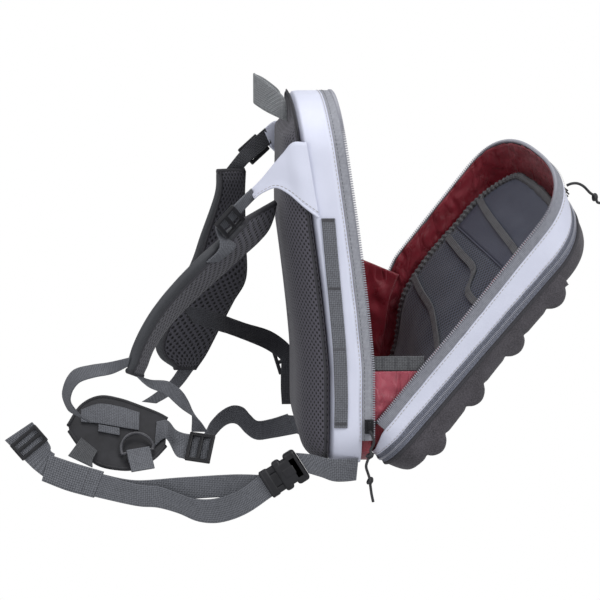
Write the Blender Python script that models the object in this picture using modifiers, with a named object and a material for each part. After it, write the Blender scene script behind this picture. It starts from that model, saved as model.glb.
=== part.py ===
"""Fly fishing chest pack with its lid folded down, held up by its grab handle.

Body: a soft tray with an arched top. x runs across it, y from its open front to the
wearer, z up. The lid is a second tray that leans forward about the bottom edge.
"""
import math

import bmesh
import bpy
from mathutils import Matrix, Vector

for old in list(bpy.data.objects):
    bpy.data.objects.remove(old, do_unlink=True)

# body
WIDTH = 0.230
HEIGHT = 0.360
DEPTH = 0.042
BOW = 0.034
ARCH_RISE = 0.060
CORNER = 0.040
WALL = 0.002
LINING = 0.0008
BACK_BULGE = 0.030
# lid
LID_LENGTH = 0.330
LID_TAPER = 0.017
LID_SIDE_LOW = 0.029
LID_SIDE_HIGH = 0.042
COVER_DEPTH = 0.026
COVER_WALL = 0.004
RIDGE_HEIGHT = 0.011
RIDGE_COUNT = 4
RIDGE_FIRST = 0.158
RIDGE_PITCH = 0.19
LID_LEAN = 40.8
LID_TWIST = 15.0
TWIST_LENGTH = 0.120
HINGE_FORWARD = 0.009
HINGE_UP = 0.004
# zips
ZIP_TAPE = 0.010
ZIP_THICK = 0.0016
ZIP_START = 0.022
COIL_TAPE = 0.010
SLIDER_LENGTH = 0.014
SLIDER_WIDTH = 0.009
SLIDER_HEIGHT = 0.005
PULL_CORD = 0.0027
# webbing and harness
REACH = 0.318
WEB = 0.0015
WEB_HEAVY = 0.0022
SIDE_WEB_WIDTH = 0.013
HANDLE_WIDTH = 0.030
HANDLE_SPAN = 0.100
HANDLE_BULGE = 0.035
HANDLE_DROP = 0.010
HANDLE_LEVEL = HEIGHT - HANDLE_DROP
YOKE_THICK = 0.0022
PAD_THICK = 0.009
PLATE_THICK = 0.0025
LOCK_WIDTH = 0.030
LOCK_LENGTH = 0.026
LOCK_THICK = 0.004
LOCK_BAR = 0.004
D_WIDTH = 0.036
D_HEIGHT = 0.026
D_WIRE = 0.0032
BUCKLE_LENGTH = 0.042
BUCKLE_WIDTH = 0.034
BUCKLE_THICK = 0.010
# clearances
CLEAR = 0.0003
LID_CLEAR = 0.0015
LINING_CLEAR = 0.0004

LEAN = math.radians(LID_LEAN)
TWIST = math.radians(LID_TWIST)
HALF = WIDTH / 2

pack = bpy.data.collections.new("fly_fishing_chest_pack")
bpy.context.scene.collection.children.link(pack)
root = bpy.data.objects.new("frame", None)
pack.objects.link(root)


def material(name, colour, roughness, metallic=0.0):
    mat = bpy.data.materials.new(name)
    mat.use_nodes = True
    shader = mat.node_tree.nodes["Principled BSDF"]
    shader.inputs["Base Color"].default_value = (*colour, 1)
    shader.inputs["Roughness"].default_value = roughness
    shader.inputs["Metallic"].default_value = metallic
    return mat


WHITE = material("coated_cloth", (0.70, 0.72, 0.85), 0.5)
RED = material("red_nylon", (0.25, 0.015, 0.03), 0.4)
AIRMESH = material("air_mesh", (0.05, 0.047, 0.055), 0.85)
TAPE = material("zip_tape", (0.33, 0.34, 0.38), 0.8)
FOAM = material("moulded_foam", (0.075, 0.065, 0.075), 0.85)
WEBBING = material("grey_webbing", (0.12, 0.125, 0.14), 0.8)
DARK = material("dark_webbing", (0.03, 0.03, 0.036), 0.8)
NET = material("pocket_mesh", (0.03, 0.04, 0.07), 0.8)
PLASTIC = material("black_plastic", (0.018, 0.018, 0.02), 0.45)
RUBBER = material("black_rubber", (0.025, 0.025, 0.028), 0.6)
CORD = material("black_cord", (0.015, 0.015, 0.017), 0.8)
STEEL = material("black_steel", (0.03, 0.03, 0.032), 0.35, 0.8)


def clamp(v, low=0.0, high=1.0):
    return min(max(v, low), high)


def smooth(v):
    v = clamp(v)
    return v * v * (3 - 2 * v)


def bow(z):
    """How far the tall tray bends back towards the wearer at height z."""
    s = clamp(z / HEIGHT, -0.1, 1.05)
    return BOW * (max(s - 0.26, 0) / 0.74) ** 1.25


HANG = Vector((0, DEPTH + bow(HANDLE_LEVEL) + HANDLE_BULGE - WEB_HEAVY / 2, HANDLE_LEVEL + HANDLE_WIDTH * 0.43))


def arch(width, height, rise, corner, inset=0.0, levels=None):
    """Closed outline in the plane: flat foot, round corners, arched top."""
    w, h = width / 2 - inset, height - inset
    foot = max(corner - inset, 0.004)
    rise = max(rise - inset, 0.012)
    pts = [(-(w - foot) + 2 * (w - foot) * i / 4, inset) for i in range(4)]
    for i in range(5):
        a = math.radians(-90 + 90 * i / 5)
        pts.append((w - foot + foot * math.cos(a), inset + foot + foot * math.sin(a)))
    low, high = inset + foot, h - rise
    steps = len(levels) if levels else 5
    side = [low + (high - low) * i / steps for i in range(steps)]
    if levels and inset < corner - 0.004:
        side = list(levels)
    pts += [(w, z) for z in side]
    for i in range(14):
        a = math.pi * i / 14
        c, s = math.cos(a), math.sin(a)
        pts.append((math.copysign(w * abs(c) ** 0.8, c), high + rise * abs(s) ** 0.8))
    pts += [(-w, z) for z in [high] + side[:0:-1]]
    for i in range(5):
        a = math.radians(180 + 90 * i / 5)
        pts.append((-(w - foot) + foot * math.cos(a), inset + foot + foot * math.sin(a)))
    return pts


def on_body(x, depth, z):
    return Vector((x, depth + bow(z), z))


def lid_axes(t):
    turn = TWIST * smooth((t - CORNER) / TWIST_LENGTH)
    along = Vector((0, -math.sin(LEAN), math.cos(LEAN)))
    level = Vector((0, -math.cos(LEAN), -math.sin(LEAN)))
    across = Vector((1, 0, 0)) * math.cos(turn) - level * math.sin(turn)
    return across, along, across.cross(along)


LID_STEP = 0.015
LID_LEVELS = [CORNER + LID_STEP * i for i in range(int((LID_LENGTH - CORNER - ARCH_RISE - 2 * LID_TAPER) / LID_STEP))]


def on_lid(x, depth, t):
    """x across the lid, depth out of its front, t up along it from the hinge.
    The twist goes in straight steps, so that nested pieces keep their gaps."""
    def exact(level):
        across, along, out = lid_axes(level)
        foot = Vector((-HALF, -HINGE_FORWARD, HINGE_UP))
        return foot + along * t + across * (x + HALF) + out * depth
    if t <= CORNER:
        return exact(t)
    k = math.floor((t - CORNER) / LID_STEP + 1e-6)
    low = CORNER + LID_STEP * k
    return exact(low).lerp(exact(low + LID_STEP), clamp((t - low) / LID_STEP))


def lid_height(depth):
    return LID_LENGTH - LID_TAPER - LID_TAPER * depth / LID_SIDE_HIGH


def room(x, t):
    """Depth that the lid has behind its front zip before it meets the body."""
    out = lid_axes(t)[2]
    return (on_lid(x, 0, t).y + LID_CLEAR) / out.y


def lid_open(x, t):
    side = LID_SIDE_LOW + (LID_SIDE_HIGH - LID_SIDE_LOW) * t / LID_LENGTH
    return -min(side, room(x, t))


def lid_edge(x, t):
    """Edge of the lid's side wall, where the zip tape starts."""
    tape = (ZIP_TAPE + CLEAR) * clamp(t / ZIP_START)
    return min(lid_open(x, t) + tape, -COIL_TAPE / 2 - WALL * 2)


def finish(obj, mat):
    obj.data.materials.clear()
    obj.data.materials.append(mat)
    pack.objects.link(obj)
    obj.parent = root
    obj.location = -HANG
    return obj


def mesh_object(name, bm, mat, soft=True):
    bmesh.ops.recalc_face_normals(bm, faces=bm.faces)
    me = bpy.data.meshes.new(name)
    bm.to_mesh(me)
    bm.free()
    if soft:
        me.shade_smooth()
        me.set_sharp_from_angle(angle=math.radians(40))
    return finish(bpy.data.objects.new(name, me), mat)


def loft(name, rings, mat, closed=False, fans=True):
    """Skin over rings of points; a closed one is a hoop, an open one gets its ends filled."""
    bm = bmesh.new()
    loops = [[bm.verts.new(p) for p in ring] for ring in rings]
    count = len(loops[0])
    pairs = list(zip(loops, loops[1:])) + ([(loops[-1], loops[0])] if closed else [])

    def rank(loop):
        mid = sum((v.co for v in loop), Vector()) / count
        return round(max((v.co - mid).length for v in loop), 4), mid.y

    for lo, hi in pairs:
        if rank(lo) < rank(hi):
            lo, hi = hi, lo
        for i in range(count):
            j = (i + 1) % count
            bm.faces.new((lo[i], lo[j], hi[j]))
            bm.faces.new((lo[i], hi[j], hi[i]))
    if not closed:
        for loop in (loops[0], loops[-1]):
            if not fans:
                bm.faces.new(loop)
                continue
            mid = bm.verts.new(sum((v.co for v in loop), Vector()) / count)
            for i in range(count):
                bm.faces.new((loop[i], loop[(i + 1) % count], mid))
    return mesh_object(name, bm, mat)


def body_ring(inset, depth):
    return [on_body(x, depth, z) for x, z in arch(WIDTH, HEIGHT, ARCH_RISE, CORNER, inset)]


def lid_ring(inset, depth):
    """depth is a number, or a function of the place on the lid."""
    if callable(depth):
        pts = arch(WIDTH, LID_LENGTH, ARCH_RISE, CORNER, inset, LID_LEVELS)
        return [on_lid(x, depth(x, t), t) for x, t in pts]
    pts = arch(WIDTH, lid_height(depth), ARCH_RISE, CORNER, inset, LID_LEVELS)
    return [on_lid(x, depth, t) for x, t in pts]


def band(name, corners, start, mat, levels=None):
    """Tape that follows the outline from one foot corner over the arch to the other."""
    keep = [i for i, (x, z) in enumerate(arch(WIDTH, HEIGHT, ARCH_RISE, CORNER, 0, levels)) if z >= start]
    rings = [[corner[i] for corner in corners] for i in keep]
    return loft(name, rings, mat, fans=False)


def sheet(name, rows, thick, mat, steps=3, across=1, offset=0.0):
    """Band of cloth or webbing through rows that hold the two edges of its middle face."""
    ends = [[Vector(r[:3]), Vector(r[3:])] for r in rows]
    spans = (len(ends) - 1) * steps
    bm = bmesh.new()
    bmesh.ops.create_grid(bm, x_segments=spans, y_segments=across, size=0.5)

    def smooth_at(s, side):
        pts = [e[side] for e in ends]
        i = min(int(s), len(pts) - 2)
        f = s - i
        p1, p2 = pts[i], pts[i + 1]
        p0 = pts[i - 1] if i else 2 * p1 - p2
        p3 = pts[i + 2] if i + 2 < len(pts) else 2 * p2 - p1
        m1, m2 = (p2 - p0) * 0.5, (p3 - p1) * 0.5
        return ((2 * f ** 3 - 3 * f ** 2 + 1) * p1 + (f ** 3 - 2 * f ** 2 + f) * m1
                + (-2 * f ** 3 + 3 * f ** 2) * p2 + (f ** 3 - f ** 2) * m2)

    for v in bm.verts:
        s = (v.co.x + 0.5) * (len(ends) - 1)
        s = round(s, 6)
        f = v.co.y + 0.5
        v.co = smooth_at(s, 0).lerp(smooth_at(s, 1), f)
    me = bpy.data.meshes.new(name)
    bm.to_mesh(me)
    bm.free()
    obj = finish(bpy.data.objects.new(name, me), mat)
    solid = obj.modifiers.new("Solidify", "SOLIDIFY")
    solid.thickness = thick
    solid.offset = offset
    return obj


def rows_of(table):
    """Two edges a row. Shares: x in 230ths of WIDTH, z in 360ths of HEIGHT, and y in
    318ths of REACH behind the body's seam, which is at 42."""
    def place(x, y, z):
        return (x * WIDTH / 230, DEPTH + (y - 42) * REACH / 318, z * HEIGHT / 360)
    return [place(*r[:3]) + place(*r[3:]) for r in table]


def tube(name, pts, radius, mat, closed=False):
    cu = bpy.data.curves.new(name, "CURVE")
    cu.dimensions = "3D"
    cu.bevel_depth = radius
    cu.bevel_resolution = 2
    cu.use_fill_caps = True
    sp = cu.splines.new("POLY")
    sp.points.add(len(pts) - 1)
    for p, q in zip(sp.points, pts):
        p.co = (*q, 1)
    sp.use_cyclic_u = closed
    return finish(bpy.data.objects.new(name, cu), mat)


def plate(name, outlines, thick, mat, spot, along, across):
    """Flat piece from outlines in its own plane; the later ones are slots."""
    cu = bpy.data.curves.new(name, "CURVE")
    cu.dimensions = "2D"
    cu.fill_mode = "BOTH"
    cu.extrude = thick / 2
    for pts in outlines:
        sp = cu.splines.new("POLY")
        sp.points.add(len(pts) - 1)
        for p, q in zip(sp.points, pts):
            p.co = (*q, 0, 1)
        sp.use_cyclic_u = True
    obj = finish(bpy.data.objects.new(name, cu), mat)
    obj.matrix_local = Matrix.Translation(spot - HANG) @ turned(along, across)
    return obj


def turned(along, across):
    u = Vector(along).normalized()
    n = u.cross(Vector(across)).normalized()
    v = n.cross(u)
    return Matrix((u, v, n)).transposed().to_4x4()


def box(name, size, mat, spot, along=(1, 0, 0), across=(0, 1, 0), bevel=0.001):
    bm = bmesh.new()
    bmesh.ops.create_cube(bm, size=1)
    bmesh.ops.scale(bm, vec=size, verts=bm.verts)
    obj = mesh_object(name, bm, mat, soft=False)
    obj.matrix_local = Matrix.Translation(spot - HANG) @ turned(along, across)
    soft = obj.modifiers.new("Bevel", "BEVEL")
    soft.width = bevel
    soft.segments = 2
    return obj


def rect(w, h, x=0.0, y=0.0, cut=0.0):
    a, b = w / 2, h / 2
    if not cut:
        return [(x - a, y - b), (x + a, y - b), (x + a, y + b), (x - a, y + b)]
    return [(x - a + cut, y - b), (x + a - cut, y - b), (x + a, y - b + cut), (x + a, y + b - cut),
            (x + a - cut, y + b), (x - a + cut, y + b), (x - a, y + b - cut), (x - a, y - b + cut)]


def spot(x, y, z):
    return Vector(rows_of([(x, y, z, x, y, z)])[0][:3])


def ladder_lock(name, place, along, across):
    """Frame with two slots and a bar between them."""
    slot = (LOCK_LENGTH - 3 * LOCK_BAR) / 2
    wide = LOCK_WIDTH - 2 * LOCK_BAR
    shift = (slot + LOCK_BAR) / 2
    return plate(name, [rect(LOCK_LENGTH, LOCK_WIDTH, cut=0.003), rect(slot, wide, -shift), rect(slot, wide, shift)],
                 LOCK_THICK, PLASTIC, place, along, across)


# body
back = DEPTH - WALL
loft("body_shell", [
    body_ring(0.080, DEPTH), body_ring(0.045, DEPTH), body_ring(0.008, DEPTH),
    body_ring(0.0025, DEPTH - 0.002), body_ring(0, DEPTH - 0.008), body_ring(0, ZIP_TAPE + CLEAR),
    body_ring(WALL, ZIP_TAPE + CLEAR), body_ring(WALL, DEPTH - 0.0085),
    body_ring(WALL + 0.0022, back - 0.0017), body_ring(WALL + 0.007, back),
    body_ring(0.045, back), body_ring(0.080, back)], WHITE)
seat = back - LINING_CLEAR
skin = WALL + LINING_CLEAR
loft("body_lining", [
    body_ring(0.080, seat), body_ring(0.045, seat), body_ring(skin + 0.0068, seat),
    body_ring(skin + 0.0022, seat - 0.0017), body_ring(skin, seat - 0.0065), body_ring(skin, LINING),
    body_ring(skin + LINING, LINING), body_ring(skin + LINING, seat - 0.0070),
    body_ring(skin + 0.0030, seat - 0.0025), body_ring(skin + 0.0074, seat - LINING),
    body_ring(0.045, seat - LINING), body_ring(0.080, seat - LINING)], RED)


def back_full(s):
    """The pad thins out under the yokes and is flat where the handle is sewn on."""
    return (1 - 0.42 * smooth((s - 0.62) / 0.3)) * (1 - 0.85 * smooth((s - 0.89) / 0.05))


def pad_ring(inset, share):
    pts = arch(WIDTH, HEIGHT, ARCH_RISE, CORNER, inset)
    out = DEPTH + CLEAR
    return [on_body(x, out + BACK_BULGE * share * back_full(z / HEIGHT), z) for x, z in pts]


loft("back_pad", [
    pad_ring(0.080, 0), pad_ring(0.045, 0), pad_ring(0.008, 0), pad_ring(0.001, 0.01), pad_ring(0.001, 0.13),
    pad_ring(0.006, 0.45), pad_ring(0.017, 0.78), pad_ring(0.036, 0.95), pad_ring(0.062, 1.0),
    pad_ring(0.085, 1.0)], AIRMESH)
band("body_zip", [body_ring(0, 0), body_ring(0, ZIP_TAPE), body_ring(ZIP_THICK, ZIP_TAPE),
                  body_ring(ZIP_THICK, 0)], ZIP_START, TAPE)

# lid
coil = COIL_TAPE / 2
loft("lid_shell", [lid_ring(0, lid_edge), lid_ring(0, -coil - CLEAR), lid_ring(WALL, -coil - CLEAR),
                   lid_ring(WALL, lid_edge)], WHITE, closed=True)
loft("front_zip", [lid_ring(0, -coil), lid_ring(0, coil), lid_ring(ZIP_THICK, coil),
                   lid_ring(ZIP_THICK, -coil)], TAPE, closed=True)
band("lid_zip", [lid_ring(0, lid_open), lid_ring(0, lambda x, t: lid_open(x, t) + ZIP_TAPE),
                 lid_ring(ZIP_THICK, lambda x, t: lid_open(x, t) + ZIP_TAPE),
                 lid_ring(ZIP_THICK, lid_open)], ZIP_START, TAPE, LID_LEVELS)
floor = -coil + 0.002


def lining_edge(x, t):
    return min(lid_open(x, t) + LINING, floor - 0.006)


loft("lid_lining", [
    lid_ring(0.080, floor), lid_ring(0.045, floor), lid_ring(skin + 0.004, floor),
    lid_ring(skin, floor - 0.003), lid_ring(skin, lining_edge),
    lid_ring(skin + LINING, lining_edge), lid_ring(skin + LINING, floor - 0.0035),
    lid_ring(skin + 0.0045, floor - LINING), lid_ring(0.045, floor - LINING),
    lid_ring(0.080, floor - LINING)], RED)


def rim_distance(x, t, height):
    """Distance of a place on the lid's front from its outline."""
    near = min(HALF - abs(x), t)
    flat = HALF - CORNER
    if abs(x) > flat and t < CORNER:
        near = CORNER - math.hypot(abs(x) - flat, CORNER - t)
    high = height - ARCH_RISE
    if t > high:
        r = (abs(x) / HALF) ** 2.5 + ((t - high) / ARCH_RISE) ** 2.5
        near = min(near, ARCH_RISE * (1 - r ** 0.4))
    return max(near, 0.0)


def cover_depth(x, t, height):
    near = rim_distance(x, t, height)
    return COVER_DEPTH * (1 - (1 - clamp(near / 0.014)) ** 3.2)


def ridge(t):
    """Cross ridges: a steep upper flank and a rounded lower one."""
    s = (t - LID_LENGTH * RIDGE_FIRST) / (LID_LENGTH * RIDGE_PITCH)
    k = round(s)
    if k < 0 or k >= RIDGE_COUNT:
        return 0.0
    return math.exp(-((s - k) * 4.6) ** 2)


def front_cover():
    """Moulded dome over the lid's front; its ridges stand on the outer face only."""
    tall = lid_height(coil)
    high = tall - ARCH_RISE
    rows = [CORNER * (1 + math.sin(math.radians(-90 + 18 * i))) for i in range(5)]
    rows += LID_LEVELS + [high]
    pitch = LID_LENGTH * RIDGE_PITCH
    for k in range(RIDGE_COUNT):
        mid = LID_LENGTH * RIDGE_FIRST + pitch * k
        rows += [mid + pitch * f for f in (-0.2, -0.1, 0, 0.1, 0.2)]
    rows += [high + ARCH_RISE * math.sin(math.pi * i / 14) ** 0.8 for i in range(1, 7)]
    rows.append(tall - ARCH_RISE * 0.0015)
    rows = sorted(rows)
    rows = [r for i, r in enumerate(rows) if i == 0 or r - rows[i - 1] > 0.0002]
    cols = (-1, -0.985, -0.94, -0.86, -0.5, 0, 0.5, 0.86, 0.94, 0.985, 1)

    def half_width(t, inset):
        if t < CORNER:
            return HALF - CORNER + math.sqrt(max(CORNER ** 2 - (CORNER - t) ** 2, 0)) - inset
        s = clamp((t - high) / (ARCH_RISE - inset))
        return max((HALF - inset) * max(1 - s ** 2.5, 0) ** 0.4, 0.008)

    bm = bmesh.new()
    outer, inner = [], []
    for t in rows:
        w = half_width(t, 0)
        line = []
        for c in cols:
            x = w * c
            d = cover_depth(x, t, tall)
            d += RIDGE_HEIGHT * ridge(t) * smooth(rim_distance(x, t, tall) / 0.012)
            line.append(bm.verts.new(on_lid(x, coil + CLEAR + d, t)))
        outer.append(line)
        ti = COVER_WALL + t * (tall - 2 * COVER_WALL) / tall
        w = half_width(ti, COVER_WALL)
        line = []
        for c in cols:
            x = w * c
            near = rim_distance(x, ti, tall) - COVER_WALL
            d = (COVER_DEPTH - COVER_WALL) * (1 - (1 - clamp(max(near, 0) / 0.012)) ** 3.2)
            line.append(bm.verts.new(on_lid(x, coil + CLEAR + d, ti)))
        inner.append(line)
    n, m = len(rows), len(cols)
    for grid in (outer, inner):
        for i in range(n - 1):
            for j in range(m - 1):
                bm.faces.new((grid[i][j], grid[i][j + 1], grid[i + 1][j + 1], grid[i + 1][j]))
    rim = ([(0, j) for j in range(m)] + [(i, m - 1) for i in range(1, n)]
           + [(n - 1, j) for j in range(m - 2, -1, -1)] + [(i, 0) for i in range(n - 2, 0, -1)])
    for (i, j), (k, l) in zip(rim, rim[1:] + rim[:1]):
        bm.faces.new((outer[i][j], outer[k][l], inner[k][l], inner[i][j]))
    return mesh_object("front_cover", bm, FOAM)


front_cover()

# bottom hinge of cloth, from the body's floor up into the lid
foot = HALF - CORNER - 0.004
step = WALL + LINING_CLEAR + LINING + 0.0016
lip = on_lid(0, lining_edge(0, skin), skin)
inside = on_lid(0, lid_open(0, step) + 0.002, step + 0.002)
sheet("hinge_panel", [
    (-foot, 0.016, step, foot, 0.016, step), (-foot, 0.007, step, foot, 0.007, step),
    (-foot, lip.y + 0.003, lip.z - 0.0015, foot, lip.y + 0.003, lip.z - 0.0015),
    (-foot, inside.y, inside.z + 0.001, foot, inside.y, inside.z + 0.001)], 0.0012, RED)


def in_lid(rows):
    """Rows of two edges, each as (x, depth, t) on the lid."""
    return [(*on_lid(*r[:3]), *on_lid(*r[3:])) for r in rows]


# gussets between body and lid, each from the body's side lining into the lid
side = HALF - skin - LINING - 0.0009
sheet("near_gusset", [
    (-side, 0.005, HEIGHT * 0.128, 0.0075 - side, -0.014, HEIGHT * 0.130),
    (-side, 0.005, HEIGHT * 0.18, 0.003 - side, -0.031, HEIGHT * 0.18),
    (-side, 0.005, HEIGHT * 0.264, 0.001 - side, -0.049, HEIGHT * 0.264)], 0.001, RED)
band_x = side - 0.0004
sheet("near_gusset_band", [
    (-band_x, 0.006, HEIGHT * 0.267, -band_x, 0.006, HEIGHT * 0.305),
    (-band_x, -0.022, HEIGHT * 0.267, -band_x, -0.022, HEIGHT * 0.305),
    (-band_x, -0.050, HEIGHT * 0.267, -band_x, -0.050, HEIGHT * 0.305)], 0.0018, WEBBING)
sheet("far_gusset", [
    (side, 0.005, HEIGHT * 0.128, side - 0.0075, -0.014, HEIGHT * 0.131),
    (side, 0.005, HEIGHT * 0.25, side - 0.010, -0.026, HEIGHT * 0.255),
    (side, 0.006, HEIGHT * 0.39, side - 0.018, -0.032, HEIGHT * 0.378),
    (side, 0.007, HEIGHT * 0.51, side - 0.021, -0.042, HEIGHT * 0.458)], 0.001, RED)

# pocket that floats at about half of the lid's depth
pocket = -LID_SIDE_LOW * 0.6
free = HALF - 0.030
wall = HALF - skin - LINING - 0.001
tall = LID_LENGTH / 0.330
sheet("pocket_panel", in_lid([
    (-wall * 0.86, pocket, 0.018, free * 0.95, pocket, 0.018), (-wall * 0.98, pocket, CORNER, free, pocket, CORNER),
    (-wall, pocket, 0.085 * tall, free, pocket, 0.085 * tall), (-wall, pocket, 0.130 * tall, free, pocket, 0.130 * tall),
    (-wall, pocket, 0.175 * tall, free, pocket, 0.175 * tall), (-wall, pocket, 0.220 * tall, free, pocket, 0.220 * tall),
    (-wall * 0.98, pocket, 0.252 * tall, free * 0.98, pocket, 0.252 * tall),
    (-wall * 0.88, pocket, 0.274 * tall, free * 0.80, pocket, 0.276 * tall),
    (-wall * 0.68, pocket, 0.290 * tall, free * 0.56, pocket, 0.290 * tall)]), 0.0012, NET, steps=2)
edge = free + 0.0052
rim_path = [(edge * 0.955, 0.018), (edge, CORNER), (edge, 0.085 * tall), (edge, 0.130 * tall), (edge, 0.175 * tall),
            (edge, 0.220 * tall), (edge, 0.252 * tall), (edge * 0.85, 0.279 * tall), (edge * 0.62, 0.298 * tall),
            (0.030, 0.3015 * tall), (-0.010, 0.302 * tall), (-0.045, 0.300 * tall), (-wall * 0.70, 0.2965 * tall)]
tube("pocket_binding", [on_lid(x, pocket, t) for x, t in rim_path], 0.004, WEBBING)
lift = pocket - 0.0024
for name, path in (
        ("elastic_loop_upper", ((0.0825, 0.256), (0.045, 0.251), (0.0, 0.247), (-0.050, 0.243), (-0.098, 0.238))),
        ("elastic_loop_middle", ((0.0825, 0.206), (0.030, 0.203), (-0.020, 0.200), (-0.045, 0.180), (-0.100, 0.178))),
        ("elastic_loop_lower", ((0.0825, 0.152), (0.040, 0.146), (0.0, 0.142), (-0.040, 0.130), (-0.100, 0.112)))):
    sheet(name, in_lid([(x * WIDTH / 0.230, lift, t * tall - 0.0035, x * WIDTH / 0.230, lift, t * tall + 0.0035)
                        for x, t in path]),
          0.0014, WEBBING, steps=2)

# webbing on both sides of the body, sewn down
for name, out in (("side_webbing_near", -1), ("side_webbing_far", 1)):
    x = out * (HALF + CLEAR + WEB / 2)
    half = SIDE_WEB_WIDTH / 2
    sheet(name, [(x, DEPTH * d - half + bow(z), z, x, DEPTH * d + half + bow(z), z)
                 for d, z in ((0.74, CORNER + 0.001), (0.73, HEIGHT * 0.2), (0.73, HEIGHT * 0.32), (0.71, HEIGHT * 0.44),
                              (0.68, HEIGHT * 0.56), (0.63, HEIGHT * 0.68))], WEB, WEBBING, steps=2)
box("edge_tab", (0.004, 0.010, 0.012), DARK,
    Vector((HALF + CLEAR + 0.002, 0.005 + bow(HEIGHT * 0.52), HEIGHT * 0.52)))

# grab handle, a loop of wide webbing on the upper back
reach = DEPTH + bow(HANDLE_LEVEL)
sheet("grab_handle", [
    (HANDLE_SPAN * x, reach + HANDLE_BULGE * y, HANDLE_LEVEL + HANDLE_WIDTH * lo,
     HANDLE_SPAN * x, reach + HANDLE_BULGE * y, HANDLE_LEVEL + HANDLE_WIDTH * hi)
    for x, y, lo, hi in ((-0.50, 0.14, -0.55, 0.02), (-0.48, 0.30, -0.48, 0.33), (-0.36, 0.70, -0.27, 0.70),
                         (-0.16, 0.96, -0.10, 0.87), (0, 1, -0.07, 0.93), (0.16, 0.96, -0.10, 0.87),
                         (0.36, 0.70, -0.27, 0.70), (0.48, 0.30, -0.48, 0.33), (0.50, 0.14, -0.55, 0.02))],
      WEB_HEAVY, WEBBING, steps=2)


def on_strap(rows, i, lift, toward):
    """Place on a strap's face at row i, lifted along its normal to the side that faces toward."""
    def mid(r):
        return (Vector(r[:3]) + Vector(r[3:])) / 2
    along = (mid(rows[min(i + 1, len(rows) - 1)]) - mid(rows[max(i - 1, 0)])).normalized()
    across = (Vector(rows[i][3:]) - Vector(rows[i][:3])).normalized()
    normal = along.cross(across).normalized()
    if normal.dot(Vector(toward)) < 0:
        normal = -normal
    return mid(rows[i]) + normal * lift, along, across


# harness on each side: yoke, webbing with a ladder lock, padded strap
seat_x = (HALF + CLEAR + YOKE_THICK / 2) * 230 / WIDTH
sheet("yoke_near", rows_of([
    (-seat_x, 64, 318, -seat_x, 52, 246), (-seat_x, 77, 318, -seat_x, 66, 257), (-113, 86, 308, -112, 80, 269),
    (-110, 96, 296, -109, 93, 275), (-107, 107, 282, -106, 106, 270), (-105, 118, 271, -104, 114, 264)]),
      YOKE_THICK, WHITE, steps=2)
sheet("yoke_far", rows_of([
    (seat_x, 64, 318, seat_x, 52, 246), (seat_x, 75, 322, seat_x, 68, 268), (112, 86, 322, 111, 81, 288),
    (106, 97, 314, 105, 90, 298)]), YOKE_THICK, WHITE, steps=2)

near_web = rows_of([(-110.9, 119.9, 270.1, -99.3, 114.9, 260.5), (-115, 131, 260, -103, 125.4, 250),
                    (-119, 142.6, 249, -107, 137.4, 239), (-118, 151, 238, -108, 145, 229),
                    (-107, 147, 217, -95, 131, 217), (-103.6, 158.3, 203.6, -89.7, 146.4, 201.9)])
sheet("yoke_webbing_near", near_web, WEB, WEBBING, steps=2)
lift = (WEB + LOCK_THICK) / 2 + CLEAR * 3
ladder_lock("yoke_lock_near", *on_strap(near_web, 2, lift + CLEAR * 2, (-1, 0, 0)))
sheet("shoulder_pad_near", rows_of([
    (-66, 92, 255, -94, 128, 238), (-65, 95, 240, -97, 141, 229), (-62, 103, 224, -101, 152, 218),
    (-58, 125, 203, -104, 164, 208), (-56, 146, 184, -106, 177, 195), (-54, 167, 165, -107, 192, 179),
    (-54, 185, 148, -107, 205, 163), (-56, 201, 130, -106, 217, 145), (-59, 214, 110, -102, 229, 120),
    (-64, 223, 86, -96, 236, 96)]), PAD_THICK, AIRMESH, steps=2, across=2)

far_web = rows_of([(105.7, 97.5, 313.7, 104.7, 90.6, 298.3), (101, 110, 303, 96, 102, 289),
                   (95, 123, 290, 90, 112, 282), (83, 137, 273.9, 91, 119, 273.9)])
sheet("yoke_webbing_far", far_web, WEB, DARK, steps=2)
ladder_lock("yoke_lock_far", *on_strap(far_web, 1, lift + CLEAR * 5, (1, 0, 0)))
sheet("shoulder_pad_far", rows_of([
    (92, 117, 273, 80, 145, 273), (94, 118, 245, 76, 147, 250), (96, 117, 200, 72, 162, 208),
    (96, 117, 162, 70, 172, 180), (94, 130, 138, 68, 190, 145), (90, 146, 108, 66, 207, 104),
    (84, 158, 86, 66, 205, 86), (78, 168, 72, 66, 190, 74)]), PAD_THICK, AIRMESH, steps=2, across=2)

# webbings at the lower ends of the padded straps
sheet("pad_webbing_far", rows_of([
    (77.0, 169.5, 71.0, 68.0, 185.5, 72.6), (64, 183, 55, 56, 196, 60), (48, 196, 47, 42, 212, 50), (40, 207, 42, 34, 222, 45)]),
      WEB, DARK, steps=3)
right_web = rows_of([(-67.2, 224.7, 85.8, -77.4, 228.9, 89.0), (-67, 214, 82, -78, 216, 77), (-60, 196, 79, -72, 199, 68),
                     (-46, 182, 65, -60, 185, 53), (-28, 174, 44, -36, 168, 37), (-15, 174, 22, -18, 158, 22)])
sheet("pad_webbing_near_right", right_web, WEB, WEBBING, steps=3)
sheet("pad_webbing_near_left", rows_of([
    (-98.3, 237.1, 108.7, -95.7, 240.3, 97.9), (-84, 253, 103, -89, 251, 92), (-70, 272, 98, -84, 268, 88),
    (-56, 291, 90, -72, 285, 80), (-44, 301, 68, -60, 293, 62), (-34, 296, 48, -44, 284, 44),
    (-22, 282, 40, -30, 274, 34)]), WEB, WEBBING, steps=3)
cross = rows_of([(-44, 185, 152, -36, 172, 134), (-20, 163, 146, -12, 152, 124), (20, 142, 134, 26, 134, 113),
                 (60, 118, 120, 66, 112, 99), (98, 90, 106, 98, 97, 88), (115, 70, 89, 115, 86, 79),
                 (118, 61, 73, 118, 79, 72), (118, 61, 58, 118, 79, 58), (118, 61, 42, 118, 79, 42),
                 (118, 60, 26, 118, 78, 26)])
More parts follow.
